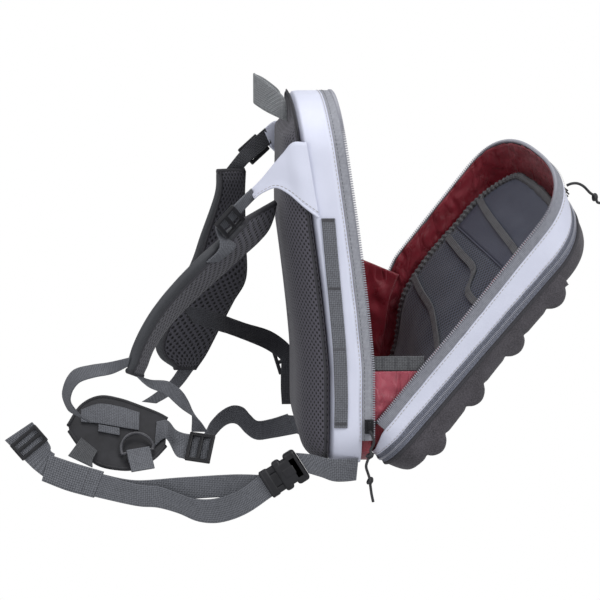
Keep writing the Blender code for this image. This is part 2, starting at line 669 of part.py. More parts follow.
sheet("cross_strap", cross, WEB, DARK, steps=3)
ladder_lock("cross_lock", *on_strap(cross, 6, lift, (1, 0, 0)))
patch_x = HALF + CLEAR + WEB / 2
seam_y = DEPTH * 0.74 + SIDE_WEB_WIDTH / 2 + CLEAR
sheet("cross_anchor", [(patch_x, seam_y + bow(z), z, patch_x, seam_y + REACH * 0.085 + bow(z), z)
                       for z in (HEIGHT * 0.135, HEIGHT * 0.165, HEIGHT * 0.195)], WEB, WEBBING, steps=1)

# curled plate behind the straps, with what is sewn to it
top = rows_of([(6, 297, 25, 4, 296, 20), (22, 284, 42, -12, 284, 6), (27, 266, 50, -24, 268, -8),
               (28, 246, 47, -27, 246, -13), (27, 226, 40, -27, 228, -12), (25, 208, 33, -20, 212, -4),
               (22, 198, 28, -8, 200, 6)])
sheet("harness_plate", top, PLATE_THICK, RUBBER, steps=2, across=2)


def over_plate(i, share, up):
    """Place over the plate at row i, at a share across it, lifted off its near face."""
    a, b = Vector(top[i][:3]), Vector(top[i][3:])
    along = (Vector(top[min(i + 1, len(top) - 1)][:3]) + Vector(top[min(i + 1, len(top) - 1)][3:])
             - Vector(top[max(i - 1, 0)][:3]) - Vector(top[max(i - 1, 0)][3:])).normalized()
    n = along.cross((b - a).normalized()).normalized()
    if n.x > 0:
        n = -n
    return a.lerp(b, share) + n * (PLATE_THICK / 2 + CLEAR + up)


flat = WEB / 2
sheet("plate_webbing", [(*over_plate(i, 0.12, flat + 0.0004), *over_plate(i, 0.42, flat + 0.0004)) for i in (1, 2, 3, 4)],
      WEB, WEBBING, steps=2)
lock_rows = [(*over_plate(k, lo, flat + 0.0006), *over_plate(k, hi, flat + 0.0006))
             for k, lo, hi in ((5, 0.22, 0.78), (6, 0.12, 0.80))] + rows_of([
    (8, 190, 20, -16, 190, -2), (-2, 183, 18, -19, 183, -5), (-7, 174, 17, -21, 174, -7), (-10, 165, 16, -23, 165, -8),
    (-13, 156, 15, -25, 156, -9)])
sheet("plate_strap", lock_rows, WEB, WEBBING, steps=2)
ladder_lock("lower_lock", *on_strap(lock_rows, 5, lift + CLEAR, (-1, 0, 0)))

# ring that swings on its straight bar, in a loop of webbing at the plate's lower edge
bar_mid = over_plate(4, 0.80, D_WIRE / 2 + 0.003)
bar_dir = (over_plate(5, 0.80, 0) - over_plate(3, 0.80, 0)).normalized()
rise = (over_plate(4, 0.4, 0) - over_plate(4, 0.8, 0))
rise = (rise - bar_dir * rise.dot(bar_dir)).normalized()
wide, tall = D_WIDTH / 2 - D_WIRE / 2, D_HEIGHT - D_WIRE
ring = [(-wide, 0), (-wide * 0.5, 0), (0, 0), (wide * 0.5, 0), (wide, 0)]
ring += [(wide * math.cos(a), tall * (0.12 + 0.88 * math.sin(a))) for a in (math.radians(9 * i) for i in range(1, 20))]
tube("d_ring", [bar_mid + bar_dir * u + rise * v for u, v in ring], D_WIRE / 2, STEEL, closed=True)
out = bar_dir.cross(rise)
if out.x > 0:
    out = -out
hold = D_WIRE / 2 + CLEAR + WEB / 2
loop_half = (D_WIDTH / 2 - D_WIRE - 0.003)


def round_bar(angle, radius=hold):
    a = math.radians(angle)
    return bar_mid + rise * math.cos(a) * radius + out * math.sin(a) * radius


path = [bar_mid - out * hold - rise * 0.010] + [round_bar(a) for a in (-90, -40, 10, 50, 90)]
path += [bar_mid + out * hold * 0.8 - rise * 0.012, bar_mid + out * hold * 0.5 - rise * 0.024]
sheet("d_ring_loop", [(*(p - bar_dir * loop_half), *(p + bar_dir * loop_half)) for p in path], WEB, WEBBING, steps=2)

# waist: anchors on both lower corners, a side-release buckle, straps
for name, out_x in (("near", -1), ("far", 1)):
    rows = rows_of([(out_x * 101.6, 13, 8.6, out_x * 98.5, 15, -14), (out_x * 103.5, 24, 8.6, out_x * 99, 26, -15),
                    (out_x * 107, 40, 9, out_x * 101, 38, -14), (out_x * 109.5, 58, 14, out_x * 107, 49, -9),
                    (out_x * 110, 74.6, 16.1, out_x * 110, 62.0, -4.3)])
    sheet("belt_anchor_" + name, rows, WEB, WEBBING, steps=2)
along, across = Vector((0, 0.85, -0.53)), Vector((0, 0.53, 0.85))
mid = spot(-110, 86.4, -5)
female = BUCKLE_LENGTH * 0.62 * REACH / 0.318
male = BUCKLE_LENGTH * 0.36 * REACH / 0.318
box("buckle_socket", (female, BUCKLE_WIDTH, BUCKLE_THICK), PLASTIC, mid - along * (male / 2 + CLEAR / 2), along, across, 0.003)
box("buckle_plug", (male, BUCKLE_WIDTH * 0.86, BUCKLE_THICK * 0.8), PLASTIC, mid + along * (female / 2 + CLEAR / 2), along, across, 0.002)
sheet("waist_strap_near", rows_of([
    (-110, 110.9, -6.2, -110, 98.1, -27.0), (-106, 130, -21, -106, 122, -44), (-94, 152, -31, -94, 147, -55),
    (-84, 172, -33, -84, 168, -56), (-77, 190, -28, -77, 188, -49), (-72, 206, -23, -72, 208, -44),
    (-66, 230, -21, -66, 230, -43), (-59.2, 261.0, -13, -59.2, 269.4, -35)]), WEB, WEBBING, steps=2)
sheet("waist_strap_back", rows_of([
    (-108.1, 111.1, -5.6, -108.1, 98.3, -26.4), (-97, 130, -7, -97, 126, -29), (-84, 150, -10, -84, 149, -32),
    (-68, 189, -15, -68, 189, -37), (-58, 230, -19, -58, 230, -41), (-56.8, 261.0, -13, -56.8, 269.4, -35)]), WEB, WEBBING, steps=2)
sleeve = rows_of([(-58, 261, -10, -58, 271, -36), (-51, 288, -3, -51, 297, -30), (-45, 314, 5, -45, 322, -21)])
sheet("strap_sleeve", sleeve, WEB_HEAVY * 2, WEBBING, steps=2)
sheet("elastic_strap", [(*over_plate(1, 0.80, flat + 0.0004), *over_plate(2, 0.84, flat + 0.0004))] + rows_of([
    (-30, 290, 10, -36, 272, -2), (-44, 296, 4, -52, 272, -6.5)]), WEB, WEBBING, steps=3)
glide = rows_of([
    (-45, 358, 20, -45, 331, 38), (-45, 347.5, 9, -45, 321, 26.5), (-45, 337, -2, -45, 313.5, 14),
    (-45, 329, -10, -45, 313, 9), (-45, 323.4, -19.5, -45, 315.8, 6)])
sheet("glide_strap", glide, WEB, WEBBING, steps=2)
lock_place, lock_along, lock_across = on_strap(glide, 1, (WEB + LOCK_THICK * 0.7) / 2 + CLEAR, (-1, 0, 0))
slot = 0.005
plate("tri_glide", [rect(0.020, 0.033, cut=0.003), rect(slot, 0.026, -0.0045), rect(slot, 0.026, 0.0045)],
      LOCK_THICK * 0.7, PLASTIC, lock_place, lock_along, lock_across)
sheet("waist_strap_far", rows_of([
    (110, 75.2, 16.3, 110, 62.8, -3.9), (109, 90, 12, 108, 88, -8), (99, 104, 12, 99, 105, -8), (90, 112, 20, 90, 116, 0),
    (78, 120, 30, 78, 126, 12), (64, 131, 34, 64, 135, 15), (48, 143, 31, 48, 144, 12), (30, 153, 24, 30, 153, 4),
    (8, 160, 16, 6, 158, -4), (-4, 163, 14, -5, 160, -4)]), WEB, DARK, steps=2)

# zip sliders, each with a knotted pull cord
crown = lid_height(0) - ARCH_RISE * (1 - (1 - (0.018 / HALF) ** 2.5) ** 0.4)
across, along, out = lid_axes(crown)
place = on_lid(-0.018, 0, crown + CLEAR + SLIDER_WIDTH / 2 * LID_TAPER / LID_SIDE_HIGH + SLIDER_HEIGHT / 2)
box("slider_top", (SLIDER_LENGTH, SLIDER_WIDTH, SLIDER_HEIGHT), STEEL, place, across, out, 0.001)
low_z = ZIP_START + 0.020
place2 = Vector((-HALF - CLEAR - SLIDER_HEIGHT / 2, ZIP_TAPE * 0.35 + bow(low_z), low_z))
box("slider_bottom", (SLIDER_LENGTH, SLIDER_WIDTH, SLIDER_HEIGHT), STEEL, place2, (0, 0, 1), (0, 1, 0), 0.001)


def curve_through(marks, steps):
    """Smooth path through a cord's own chosen marks."""
    pts = []
    for i in range(len(marks) - 1):
        p0, p1, p2, p3 = marks[max(i - 1, 0)], marks[i], marks[i + 1], marks[min(i + 2, len(marks) - 1)]
        for k in range(steps):
            f = k / steps
            pts.append(0.5 * (2 * p1 + (p2 - p0) * f + (2 * p0 - 5 * p1 + 4 * p2 - p3) * f * f
                              + (3 * p1 - p0 - 3 * p2 + p3) * f ** 3))
    return pts + [marks[-1]]


def pull(name, start, offsets, knot):
    """Cord from a slider, with a knot where it is tied."""
    marks = [start + Vector(o) for o in offsets]
    pts = curve_through(marks, 3)
    obj = tube(name, pts, PULL_CORD / 2, CORD)
    for p in obj.data.splines[0].points:
        gap = (Vector(p.co[:3]) - marks[knot]).length
        p.radius = 1 + 2.4 * max(1 - (gap / 0.0062) ** 2, 0)
    return obj


pull("pull_cord_top", place + along * (SLIDER_HEIGHT / 2 + CLEAR + PULL_CORD / 2) - across * 0.002,
     [(0, 0, 0), (-0.001, -0.008, -0.001), (-0.002, -0.014, -0.008), (-0.003, -0.019, -0.016), (-0.003, -0.025, -0.020),
      (-0.003, -0.034, -0.023)], 3)
pull("pull_cord_bottom", place2 - Vector((SLIDER_HEIGHT / 2 + CLEAR + PULL_CORD / 2, 0, 0.004)),
     [(0, 0, 0), (-0.001, 0.001, -0.012), (-0.001, 0.002, -0.026), (-0.001, 0.000, -0.040), (-0.001, -0.002, -0.056),
      (-0.001, 0.001, -0.070), (-0.001, -0.001, -0.084)], 4)
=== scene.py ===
from math import copysign, cos, exp, hypot, pi, radians, sin, sqrt, tau

import bmesh
import bpy
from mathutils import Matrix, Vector
from mathutils.noise import noise, noise_vector, seed_set


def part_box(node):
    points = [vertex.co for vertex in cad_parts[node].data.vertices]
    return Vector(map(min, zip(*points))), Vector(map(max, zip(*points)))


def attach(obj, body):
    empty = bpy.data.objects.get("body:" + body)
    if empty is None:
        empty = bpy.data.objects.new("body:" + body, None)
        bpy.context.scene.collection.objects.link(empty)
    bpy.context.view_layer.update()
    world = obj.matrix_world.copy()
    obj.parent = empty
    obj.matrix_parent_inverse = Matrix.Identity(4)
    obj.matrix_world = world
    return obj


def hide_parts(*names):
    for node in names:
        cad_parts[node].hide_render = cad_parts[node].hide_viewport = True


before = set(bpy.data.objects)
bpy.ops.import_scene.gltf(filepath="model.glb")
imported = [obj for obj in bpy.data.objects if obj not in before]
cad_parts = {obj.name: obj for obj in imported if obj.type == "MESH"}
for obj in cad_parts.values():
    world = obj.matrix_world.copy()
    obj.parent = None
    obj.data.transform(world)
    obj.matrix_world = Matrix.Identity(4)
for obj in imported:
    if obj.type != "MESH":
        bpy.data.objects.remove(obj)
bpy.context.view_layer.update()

# The soft folds of the cloth start from a fixed seed, so that each run gives the same shapes.
seed_set(1)

# Camera and studio: a white backdrop behind the hanging pack, soft light from all round and a
# long lens a little above the horizon, looking at the pack from its near side.
PACK_WIDTH = 0.23
HANG_BACK = 0.10831
HANG_UP = 0.3629
HANG = Vector((0, HANG_BACK, HANG_UP))
X_AXIS, Y_AXIS, Z_AXIS = Vector((1, 0, 0)), Vector((0, 1, 0)), Vector((0, 0, 1))
LOOK_AT = Vector((0, 0.02, 0.18)) - HANG
LENS_AWAY = 3.0
LENS_AZIMUTH = radians(266.3)
LENS_ABOVE = radians(6.9)
LENS_LENGTH = 180
SENSOR = 36
IMAGE_SIZE = 600
PICTURE_RIGHT = 44.5
PICTURE_UP = 29.2

scene = bpy.context.scene
scene.view_settings.view_transform = "Standard"
camera = bpy.data.objects.new("camera", bpy.data.cameras.new("camera"))
scene.collection.objects.link(camera)
scene.camera = camera
back = Vector((sin(LENS_AZIMUTH) * cos(LENS_ABOVE), -cos(LENS_AZIMUTH) * cos(LENS_ABOVE), sin(LENS_ABOVE)))
camera.location = LOOK_AT + back * LENS_AWAY
camera.rotation_mode = "QUATERNION"
camera.rotation_quaternion = (-back).to_track_quat("-Z", "Y")
camera.data.lens = LENS_LENGTH
camera.data.sensor_width = SENSOR
camera.data.clip_end = 30
camera.data.shift_x = -PICTURE_RIGHT / IMAGE_SIZE
camera.data.shift_y = -PICTURE_UP / IMAGE_SIZE


def soft_light(name, place, size, power):
    lamp = bpy.data.lights.new(name, "AREA")
    lamp.size = size
    lamp.energy = power
    holder = bpy.data.objects.new(name, lamp)
    scene.collection.objects.link(holder)
    holder.location = place
    holder.rotation_mode = "QUATERNION"
    holder.rotation_quaternion = (Vector(place) - LOOK_AT).to_track_quat("Z", "Y")


soft_light("key_light", (-1.5, -1.2, 1.1), 1.0, 25)
soft_light("fill_light", (-1.6, 1.4, 0.2), 1.4, 9)
soft_light("top_light", (0.4, 0.2, 1.8), 1.0, 14)
world = bpy.data.worlds.new("studio")
scene.world = world
world.use_nodes = True
air = world.node_tree
dim = air.nodes["Background"]
dim.inputs[0].default_value = (0.96, 0.97, 1, 1)
dim.inputs[1].default_value = 0.52
backdrop = air.nodes.new("ShaderNodeBackground")
backdrop.inputs[0].default_value = (1, 1, 1, 1)
ray = air.nodes.new("ShaderNodeLightPath")
choose = air.nodes.new("ShaderNodeMixShader")
air.links.new(ray.outputs["Is Camera Ray"], choose.inputs[0])
air.links.new(dim.outputs[0], choose.inputs[1])
air.links.new(backdrop.outputs[0], choose.inputs[2])
air.links.new(choose.outputs[0], air.nodes["World Output"].inputs[0])


class Finish:
    """A material with its Principled shader and short calls for the nodes that feed it."""

    def __init__(self, name, colour, roughness, sheen=0.0):
        self.material = bpy.data.materials.new(name)
        self.material.use_nodes = True
        self.tree = self.material.node_tree
        self.shader = self.tree.nodes["Principled BSDF"]
        for socket, value in (("Base Color", (*colour, 1)), ("Roughness", roughness), ("Sheen Weight", sheen)):
            self.shader.inputs[socket].default_value = value

    def node(self, kind, links=(), **values):
        made = self.tree.nodes.new(kind)
        for key, value in values.items():
            setattr(made, key, value)
        for socket, value in links:
            if isinstance(value, bpy.types.NodeSocket):
                self.tree.links.new(value, made.inputs[socket])
            else:
                made.inputs[socket].default_value = value
        return made

    def feed(self, socket, value):
        self.tree.links.new(value, self.shader.inputs[socket])
        return self

    def in_steps(self, place, size):
        return self.node("ShaderNodeVectorMath", [(0, place), (1, (1 / size,) * 3)], operation="MULTIPLY").outputs[0]

    def cloth_place(self, pitch):
        """Place on the cloth in threads of this pitch, from the lengths kept in the UV map."""
        return self.in_steps(self.node("ShaderNodeUVMap", uv_map="cloth").outputs[0], pitch)

    def object_place(self, size):
        return self.in_steps(self.node("ShaderNodeTexCoord").outputs["Object"], size)

    def speckle(self, place, detail=3.0, scale=1.0):
        return self.node("ShaderNodeTexNoise", [("Vector", place), ("Scale", scale), ("Detail", detail)]).outputs[0]

    def tint(self, mask, dark, light, low=0.3, high=0.7):
        ramp = self.node("ShaderNodeValToRGB", [(0, mask)])
        for element, place, colour in zip(ramp.color_ramp.elements, (low, high), (dark, light)):
            element.position = place
            element.color = (*colour, 1)
        return ramp.outputs[0]

    def maths(self, operation, a, b=0.0):
        return self.node("ShaderNodeMath", [(0, a), (1, b)], operation=operation).outputs[0]

    def blend(self, a, share, b, rest):
        """Sum of two masks, each times its share."""
        return self.maths("ADD", self.maths("MULTIPLY", a, share), self.maths("MULTIPLY", b, rest))

    def bump(self, height, distance):
        made = self.node("ShaderNodeBump", [("Height", height), ("Distance", distance), ("Strength", 1.0)])
        return self.feed("Normal", made.outputs[0])


def grained(name, colour, roughness, size, depth):
    finish = Finish(name, colour, roughness)
    return finish.bump(finish.speckle(finish.object_place(size)), depth)


def weave_group():
    """Plain weave: warp and weft bands that take turns on top."""
    group = bpy.data.node_groups.new("plain_weave", "ShaderNodeTree")
    group.interface.new_socket("Place", in_out="INPUT", socket_type="NodeSocketVector")
    group.interface.new_socket("Height", in_out="OUTPUT", socket_type="NodeSocketFloat")
    start = group.nodes.new("NodeGroupInput")
    end = group.nodes.new("NodeGroupOutput")
    turns = group.nodes.new("ShaderNodeTexChecker")
    turns.inputs["Scale"].default_value = 1
    turns.inputs[1].default_value = (1, 1, 1, 1)
    turns.inputs[2].default_value = (0, 0, 0, 1)
    pick = group.nodes.new("ShaderNodeMix")
    group.links.new(start.outputs[0], turns.inputs["Vector"])
    group.links.new(turns.outputs["Fac"], pick.inputs[0])
    for index, direction in ((2, "X"), (3, "Y")):
        wave = group.nodes.new("ShaderNodeTexWave")
        wave.bands_direction = direction
        wave.inputs["Scale"].default_value = pi / 10
        group.links.new(start.outputs[0], wave.inputs["Vector"])
        group.links.new(wave.outputs["Fac"], pick.inputs[index])
    group.links.new(pick.outputs[0], end.inputs[0])
    return group


WEAVE = weave_group()


def cloth_of(name, dark, light, roughness, pitch, depth, patches=0.004, sheen=0.0, ribs=1.0, creases=0.0):
    """Woven finish: threads of this pitch, colour that drifts in soft patches, wear in the roughness."""
    finish = Finish(name, light, roughness, sheen)
    threads = finish.node("ShaderNodeGroup", node_tree=WEAVE)
    finish.tree.links.new(finish.cloth_place(pitch), threads.inputs[0])
    threads = threads.outputs[0]
    drift = finish.speckle(finish.object_place(patches))
    finish.feed("Base Color", finish.tint(finish.blend(threads, 0.55 * ribs, drift, 0.45), dark, light, 0.15, 0.75))
    finish.feed("Roughness", finish.maths("ADD", finish.maths("MULTIPLY", drift, 0.2), roughness - 0.1))
    if creases:
        turned = finish.node("ShaderNodeMapping", [("Vector", finish.object_place(creases)),
            ("Rotation", (radians(35), 0, radians(25))), ("Scale", (1.0, 1.3, 0.42))])
        folds = finish.node("ShaderNodeTexNoise", [("Vector", turned.outputs[0]), ("Scale", 1.0), ("Detail", 2.0),
            ("Distortion", 0.6)]).outputs[0]
        sharp = finish.maths("POWER", finish.maths("ABSOLUTE", finish.maths("SUBTRACT", folds, 0.5)), 0.7)
        threads = finish.maths("ADD", finish.maths("MULTIPLY", threads, 0.02), finish.blend(folds, 0.8, sharp, 0.7))
        depth = creases * 0.22
    return finish.bump(threads, depth)


def place_rows(values, spans):
    """Smooth line through chosen values, which may be numbers or vectors."""
    made = []
    last = len(values) - 1
    for i in range(last):
        p1, p2 = values[i], values[i + 1]
        p0 = values[i - 1] if i else p1 * 2 - p2
        p3 = values[i + 2] if i + 2 <= last else p2 * 2 - p1
        m1, m2 = (p2 - p0) * 0.5, (p3 - p1) * 0.5
        for k in range(spans):
            f = k / spans
            made.append(p1 * (2 * f ** 3 - 3 * f ** 2 + 1) + m1 * (f ** 3 - 2 * f ** 2 + f)
                + p2 * (-2 * f ** 3 + 3 * f ** 2) + m2 * (f ** 3 - f ** 2))
    return made + [values[-1]]


def keep(obj, finish, slot, *nodes, body="pack"):
    """Every piece ends here: its finish, its body and the solids that it stands for. The slot is not used."""
    obj.data.materials.clear()
    obj.data.materials.append(finish.material)
    if obj.name not in scene.collection.objects:
        scene.collection.objects.link(obj)
    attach(obj, body)
    if nodes:
        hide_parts(*nodes)
    return obj


def object_of(name, bm, sharp=None):
    """Smooth object from a mesh, with edges past this angle kept sharp."""
    mesh = bpy.data.meshes.new(name)
    bm.to_mesh(mesh)
    bm.free()
    mesh.shade_smooth()
    if sharp:
        mesh.set_sharp_from_angle(angle=radians(sharp))
    return bpy.data.objects.new(name, mesh)


def surface(name, rows, around=False, hoop=False, fill=False, thick=0.0, offset=0.0, sharp=None):
    """Grid of points as a mesh with its lengths in the UV map. around closes each row on itself,
    hoop joins the last row to the first, fill closes both ends of a tube."""
    n, m = len(rows), len(rows[0])
    middle, centre = rows[n // 2], m // 2
    along = [0.0]
    for i in range(n):
        along.append(along[-1] + (rows[(i + 1) % n][centre] - rows[i][centre]).length)
    across = [0.0]
    for j in range(m):
        across.append(across[-1] + (middle[(j + 1) % m] - middle[j]).length)
    bm = bmesh.new()
    uv = bm.loops.layers.uv.new("cloth")
    verts = [[bm.verts.new(p - HANG) for p in row] for row in rows]
    for i in range(n if hoop else n - 1):
        for j in range(m if around else m - 1):
            k, l = (i + 1) % n, (j + 1) % m
            face = bm.faces.new((verts[i][j], verts[i][l], verts[k][l], verts[k][j]))
            for loop, (a, b) in zip(face.loops, ((i, j), (i, j + 1), (i + 1, j + 1), (i + 1, j))):
                loop[uv].uv = (along[a], across[b])
    if fill:
        for i in (0, n - 1):
            tip = bm.verts.new(sum((v.co for v in verts[i]), Vector()) / m)
            for j in range(m):
                face = bm.faces.new((verts[i][j], verts[i][(j + 1) % m], tip))
                for loop, b in zip(face.loops, (j, j + 1, j)):
                    loop[uv].uv = (along[i], across[b])
    bmesh.ops.recalc_face_normals(bm, faces=bm.faces)
    obj = object_of(name, bm, sharp)
    if thick:
        skin = obj.modifiers.new("Solidify", "SOLIDIFY")
        skin.thickness = thick
        skin.offset = offset
        skin.use_even_offset = False
    return obj


# Zip pulls: thin braided black cord, tied through its slider's eye and knotted near its end.
PULL_CORD = 0.0027
KNOT_SIZE = 0.0034

CORD = Finish("braided_cord", (0.02, 0.02, 0.022), 0.6)
braid = CORD.speckle(CORD.object_place(0.0006), 1.0)
CORD.feed("Base Color", CORD.tint(braid, (0.006, 0.006, 0.007), (0.05, 0.05, 0.055))).bump(braid, 0.0003)


def knot_route(centre, along, side, size):
    """The turns of an overhand knot about a place on the cord."""
    third = along.cross(side).normalized()
    return [centre + along * size * a + side * size * b + third * size * c
        for a, b, c in ((-0.9, 0.3, 0.2), (-0.2, 0.75, 0.5), (0.5, 0.1, 0.85), (0.35, -0.7, 0.1),
        (-0.45, -0.45, -0.65), (-0.55, 0.55, -0.45), (0.15, 0.7, -0.2), (0.9, 0.15, 0.1))]


def pull(side, steps, knots):
    """A cord from its slider's eye along steps in millimetres, with a knot in place of each named step."""
    low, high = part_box("slider_" + side)
    eye = (low + high) / 2 + HANG
    marks = [eye + Vector(step) / 1000 for step in steps]
    route = []
    for i, mark in enumerate(marks):
        if i in knots:
            run = (marks[i + 1] - marks[i - 1]).normalized()
            route += knot_route(mark, run, run.orthogonal().normalized(), KNOT_SIZE)
        else:
            route.append(mark)
    fine = place_rows(route, 6)
    name = side + "_pull_cord"
    curve = bpy.data.curves.new(name, "CURVE")
    curve.dimensions = "3D"
    curve.bevel_depth = PULL_CORD / 2
    curve.bevel_resolution = 4
    curve.use_fill_caps = True
    line = curve.splines.new("POLY")
    line.points.add(len(fine) - 1)
    for point, where in zip(line.points, fine):
        point.co = (*(where - HANG), 1)
    obj = keep(bpy.data.objects.new(name, curve), CORD, "black_cord", "pull_cord_" + side)


pull("top", ((-4, -2, 6), (-5, -7, 8), (-5, -13, 8), (-5, -19, 5), (-4, -25, -1), (-3, -30, -6), (-4, -33, -11),
    (-3, -37, -12), (-4, -42, -13)), (5,))
pull("bottom", ((-4, 0, -3), (-4, -3, -9), (-4, -4, -15), (-4, -1, -22), (-4, 0, -27), (-5, 2, -32), (-5, 3.5, -38),
    (-4, 1.5, -45), (-4, 0, -52), (-4, -1, -59), (-4, -2, -66), (-4, -3.5, -73)), (4, 8))


# Body: a tray of coated cloth with an arched top, lined with shiny red nylon. It bows back
# towards the wearer, and its walls are a little slack, so the cloth ripples along the seams.
BODY_HEIGHT = 0.36
BODY_DEPTH = 0.042
BODY_BOW = 0.034
ARCH_RISE = 0.06
MIDDLE = 0.108
CORNER = 0.04
WALL = 0.002
LINING = 0.0008
ZIP_TAPE = 0.01
ZIP_START = 0.022
HALF = PACK_WIDTH / 2


def clamp(v, low=0.0, high=1.0):
    return min(max(v, low), high)


def smooth(v):
    v = clamp(v)
    return v * v * (3 - 2 * v)


def bow(z):
    s = clamp(z / BODY_HEIGHT, -0.1, 1.05)
    return BODY_BOW * (max(s - 0.26, 0) / 0.74) ** 1.25


def on_body(x, depth, z):
    return Vector((x, depth + bow(z), z))


def arch(height, inset=0.0):
    """Outline of the tray from the middle of its foot, round by the far side and the arch."""
    w, h = HALF - inset, height - inset
    foot = max(CORNER - inset, 0.004)
    rise = max(ARCH_RISE - inset, 0.012)
    flat = w - foot
    half = [(flat * i / 20, inset) for i in range(20)]
    half += [(flat + foot * sin(radians(a)), inset + foot - foot * cos(radians(a))) for a in range(0, 90, 9)]
    low, high = inset + foot, h - rise
    half += [(w, low + (high - low) * i / 80) for i in range(80)]
    for i in range(25):
        a = pi / 2 * i / 24
        half.append((w * cos(a) ** 0.8 if i < 24 else 0.0, high + rise * sin(a) ** 0.8))
    return half + [(-x, z) for x, z in half[-2:0:-1]]


def body_ring(inset, depth):
    return [on_body(x, depth, z) for x, z in arch(BODY_HEIGHT, inset)]


def ripple(rows, amount, size, stretch=(1, 1, 1)):
    """Moves each point of the cloth by soft folds of this size."""
    made = []
    for row in rows:
        line = []
        for p in row:
            q = Vector((p.x * stretch[0], p.y * stretch[1], p.z * stretch[2])) / size
            line.append(p + Vector(noise_vector(q)) * amount + Vector(noise_vector(q * 2.3)) * amount * 0.4)
        made.append(line)
    return made


def fill_rings(pairs, ring, steps):
    """Rings between each pair of (inset, depth) marks."""
    marks = [Vector((a, b, 0)) for a, b in pairs]
    made = []
    for start, end in zip(marks, marks[1:]):
        made += [start.lerp(end, k / steps) for k in range(steps)]
    return [ring(m.x, m.y) for m in made + [marks[-1]]]


def closed_middle(rows):
    """Adds a first row on the middle line, so that the cloth has no slot there."""
    first = rows[0]
    return [[(first[i] + first[-i]) / 2 for i in range(len(first))]] + rows


COATED = cloth_of("coated_cloth", (0.7, 0.725, 0.86), (0.8, 0.82, 0.95), 0.5, 0.0007, 0.00006, 0.03, ribs=0.35)
NYLON = cloth_of("red_nylon", (0.15, 0.006, 0.013), (0.42, 0.034, 0.06), 0.3, 0.0006, 0.00006, 0.012, 0.1, 0.5, 0.024)
# The same red nylon painted lighter for the near wing: painted highlight, the satin sheen that the light puts on it.
HIGHLIT_NYLON = cloth_of("red_nylon_painted_highlight", (0.25, 0.035, 0.055), (0.62, 0.12, 0.17), 0.28, 0.0006, 0.00006, 0.012,
    0.1, 0.5, 0.02)

skin = WALL / 2
body_rows = fill_rings([(MIDDLE, BODY_DEPTH - skin), (0.06, BODY_DEPTH - skin), (0.01, BODY_DEPTH - skin)], body_ring,
    3)
body_rows += fill_rings([(0.005, BODY_DEPTH - skin - 0.0006), (skin + 0.0006, BODY_DEPTH - 0.005),
    (skin, BODY_DEPTH - 0.01), (skin, ZIP_TAPE + 0.0004)], body_ring, 4)
body_rows = [[p + Vector((copysign(1, p.x) * 0.0009 * noise(Vector((p.x, p.y * 2, p.z * 0.6)) / 0.02), 0, 0))
    for p in row] for row in body_rows]
keep(surface("body_cloth", closed_middle(body_rows), around=True, thick=WALL * 0.8), COATED, "coated_cloth",
    "body_shell")

lining_depth = BODY_DEPTH - WALL - 0.0008
inner = WALL + 0.001
lining_rows = fill_rings([(MIDDLE, lining_depth), (0.06, lining_depth), (inner + 0.007, lining_depth)], body_ring, 5)
lining_rows += fill_rings([(inner + 0.003, lining_depth - 0.001), (inner + 0.0003, lining_depth - 0.006),
    (inner, 0.001)], body_ring, 8)
lining_rows = ripple(lining_rows, 0.0008, 0.016, (1, 1, 0.5))
keep(surface("body_lining_cloth", closed_middle(lining_rows), around=True, thick=LINING, offset=0), NYLON,
    "red_nylon", "body_lining")


# Zips: grey woven tape with moulded teeth along its edge, sewn on with a row of pale stitches.
# The body's tape follows the outline of its open front.
ZIP_THICK = 0.0016
TOOTH_PITCH = 0.0023
TOOTH = (0.0036, 0.0015, 0.003)
SEAT = 0.0001
STITCH = 0.0028
STITCH_GAP = 0.0014

TAPE = cloth_of("zip_tape", (0.17, 0.175, 0.2), (0.44, 0.45, 0.5), 0.75, 0.0013, 0.00025)
LID_TAPE = cloth_of("lid_tape", (0.12, 0.125, 0.15), (0.36, 0.37, 0.42), 0.75, 0.0013, 0.00025)
SLATE_TAPE = cloth_of("slate_tape", (0.08, 0.088, 0.115), (0.25, 0.265, 0.33), 0.75, 0.0013, 0.00025)
TEETH = grained("zip_teeth", (0.34, 0.345, 0.39), 0.35, 0.0005, 0.00005)
THREAD = grained("pale_thread", (0.45, 0.43, 0.4), 0.7, 0.0003, 0.0001)
DARK_THREAD = grained("dark_thread", (0.09, 0.09, 0.1), 0.7, 0.0003, 0.0001)


def walk(line, pitch, start=0.0):
    """Places at even steps along a line, each with its direction."""
    made, left = [], start
    for a, b in zip(line, line[1:]):
        span = (b - a).length
        while left <= span and span > 0:
            made.append((a.lerp(b, left / span), (b - a) / span))
            left += pitch
        left -= span
    return made


def small_parts(name, places, size, finish, slot):
    """Many small rounded parts as one mesh. Each place is (middle, along, across)."""
    bm = bmesh.new()
    for middle, along, across in places:
        u = along.normalized()
        n = u.cross(across).normalized()
        v = n.cross(u)
        rings = []
        for s, w in ((-0.5, 0.55), (-0.3, 1.0), (0.3, 1.0), (0.5, 0.55)):
            ring = []
            for k in range(6):
                a = pi * (k + 0.5) / 3
                ring.append(bm.verts.new(middle - HANG + u * size[0] * s + v * size[1] / 2 * w * cos(a)
                    + n * size[2] / 2 * w * sin(a)))
            rings.append(ring)
        for lo, hi in zip(rings, rings[1:]):
            for k in range(6):
                bm.faces.new((lo[k], lo[(k + 1) % 6], hi[(k + 1) % 6], hi[k]))
        bm.faces.new(rings[0][::-1])
        bm.faces.new(rings[-1])
    return keep(object_of(name, bm), finish, slot)


def stitched(name, line, across, finish=THREAD, slot="zip_tape"):
    places = [(p, d, across) for p, d in walk(line, STITCH + STITCH_GAP, 0.001)]
    return small_parts(name, places, (STITCH, 0.0006, 0.0005), finish, slot)


def open_line(points, heights):
    """The part of a closed outline above the zip's start, from one foot corner to the other."""
    return [p for p, z in zip(points, heights) if z >= ZIP_START]


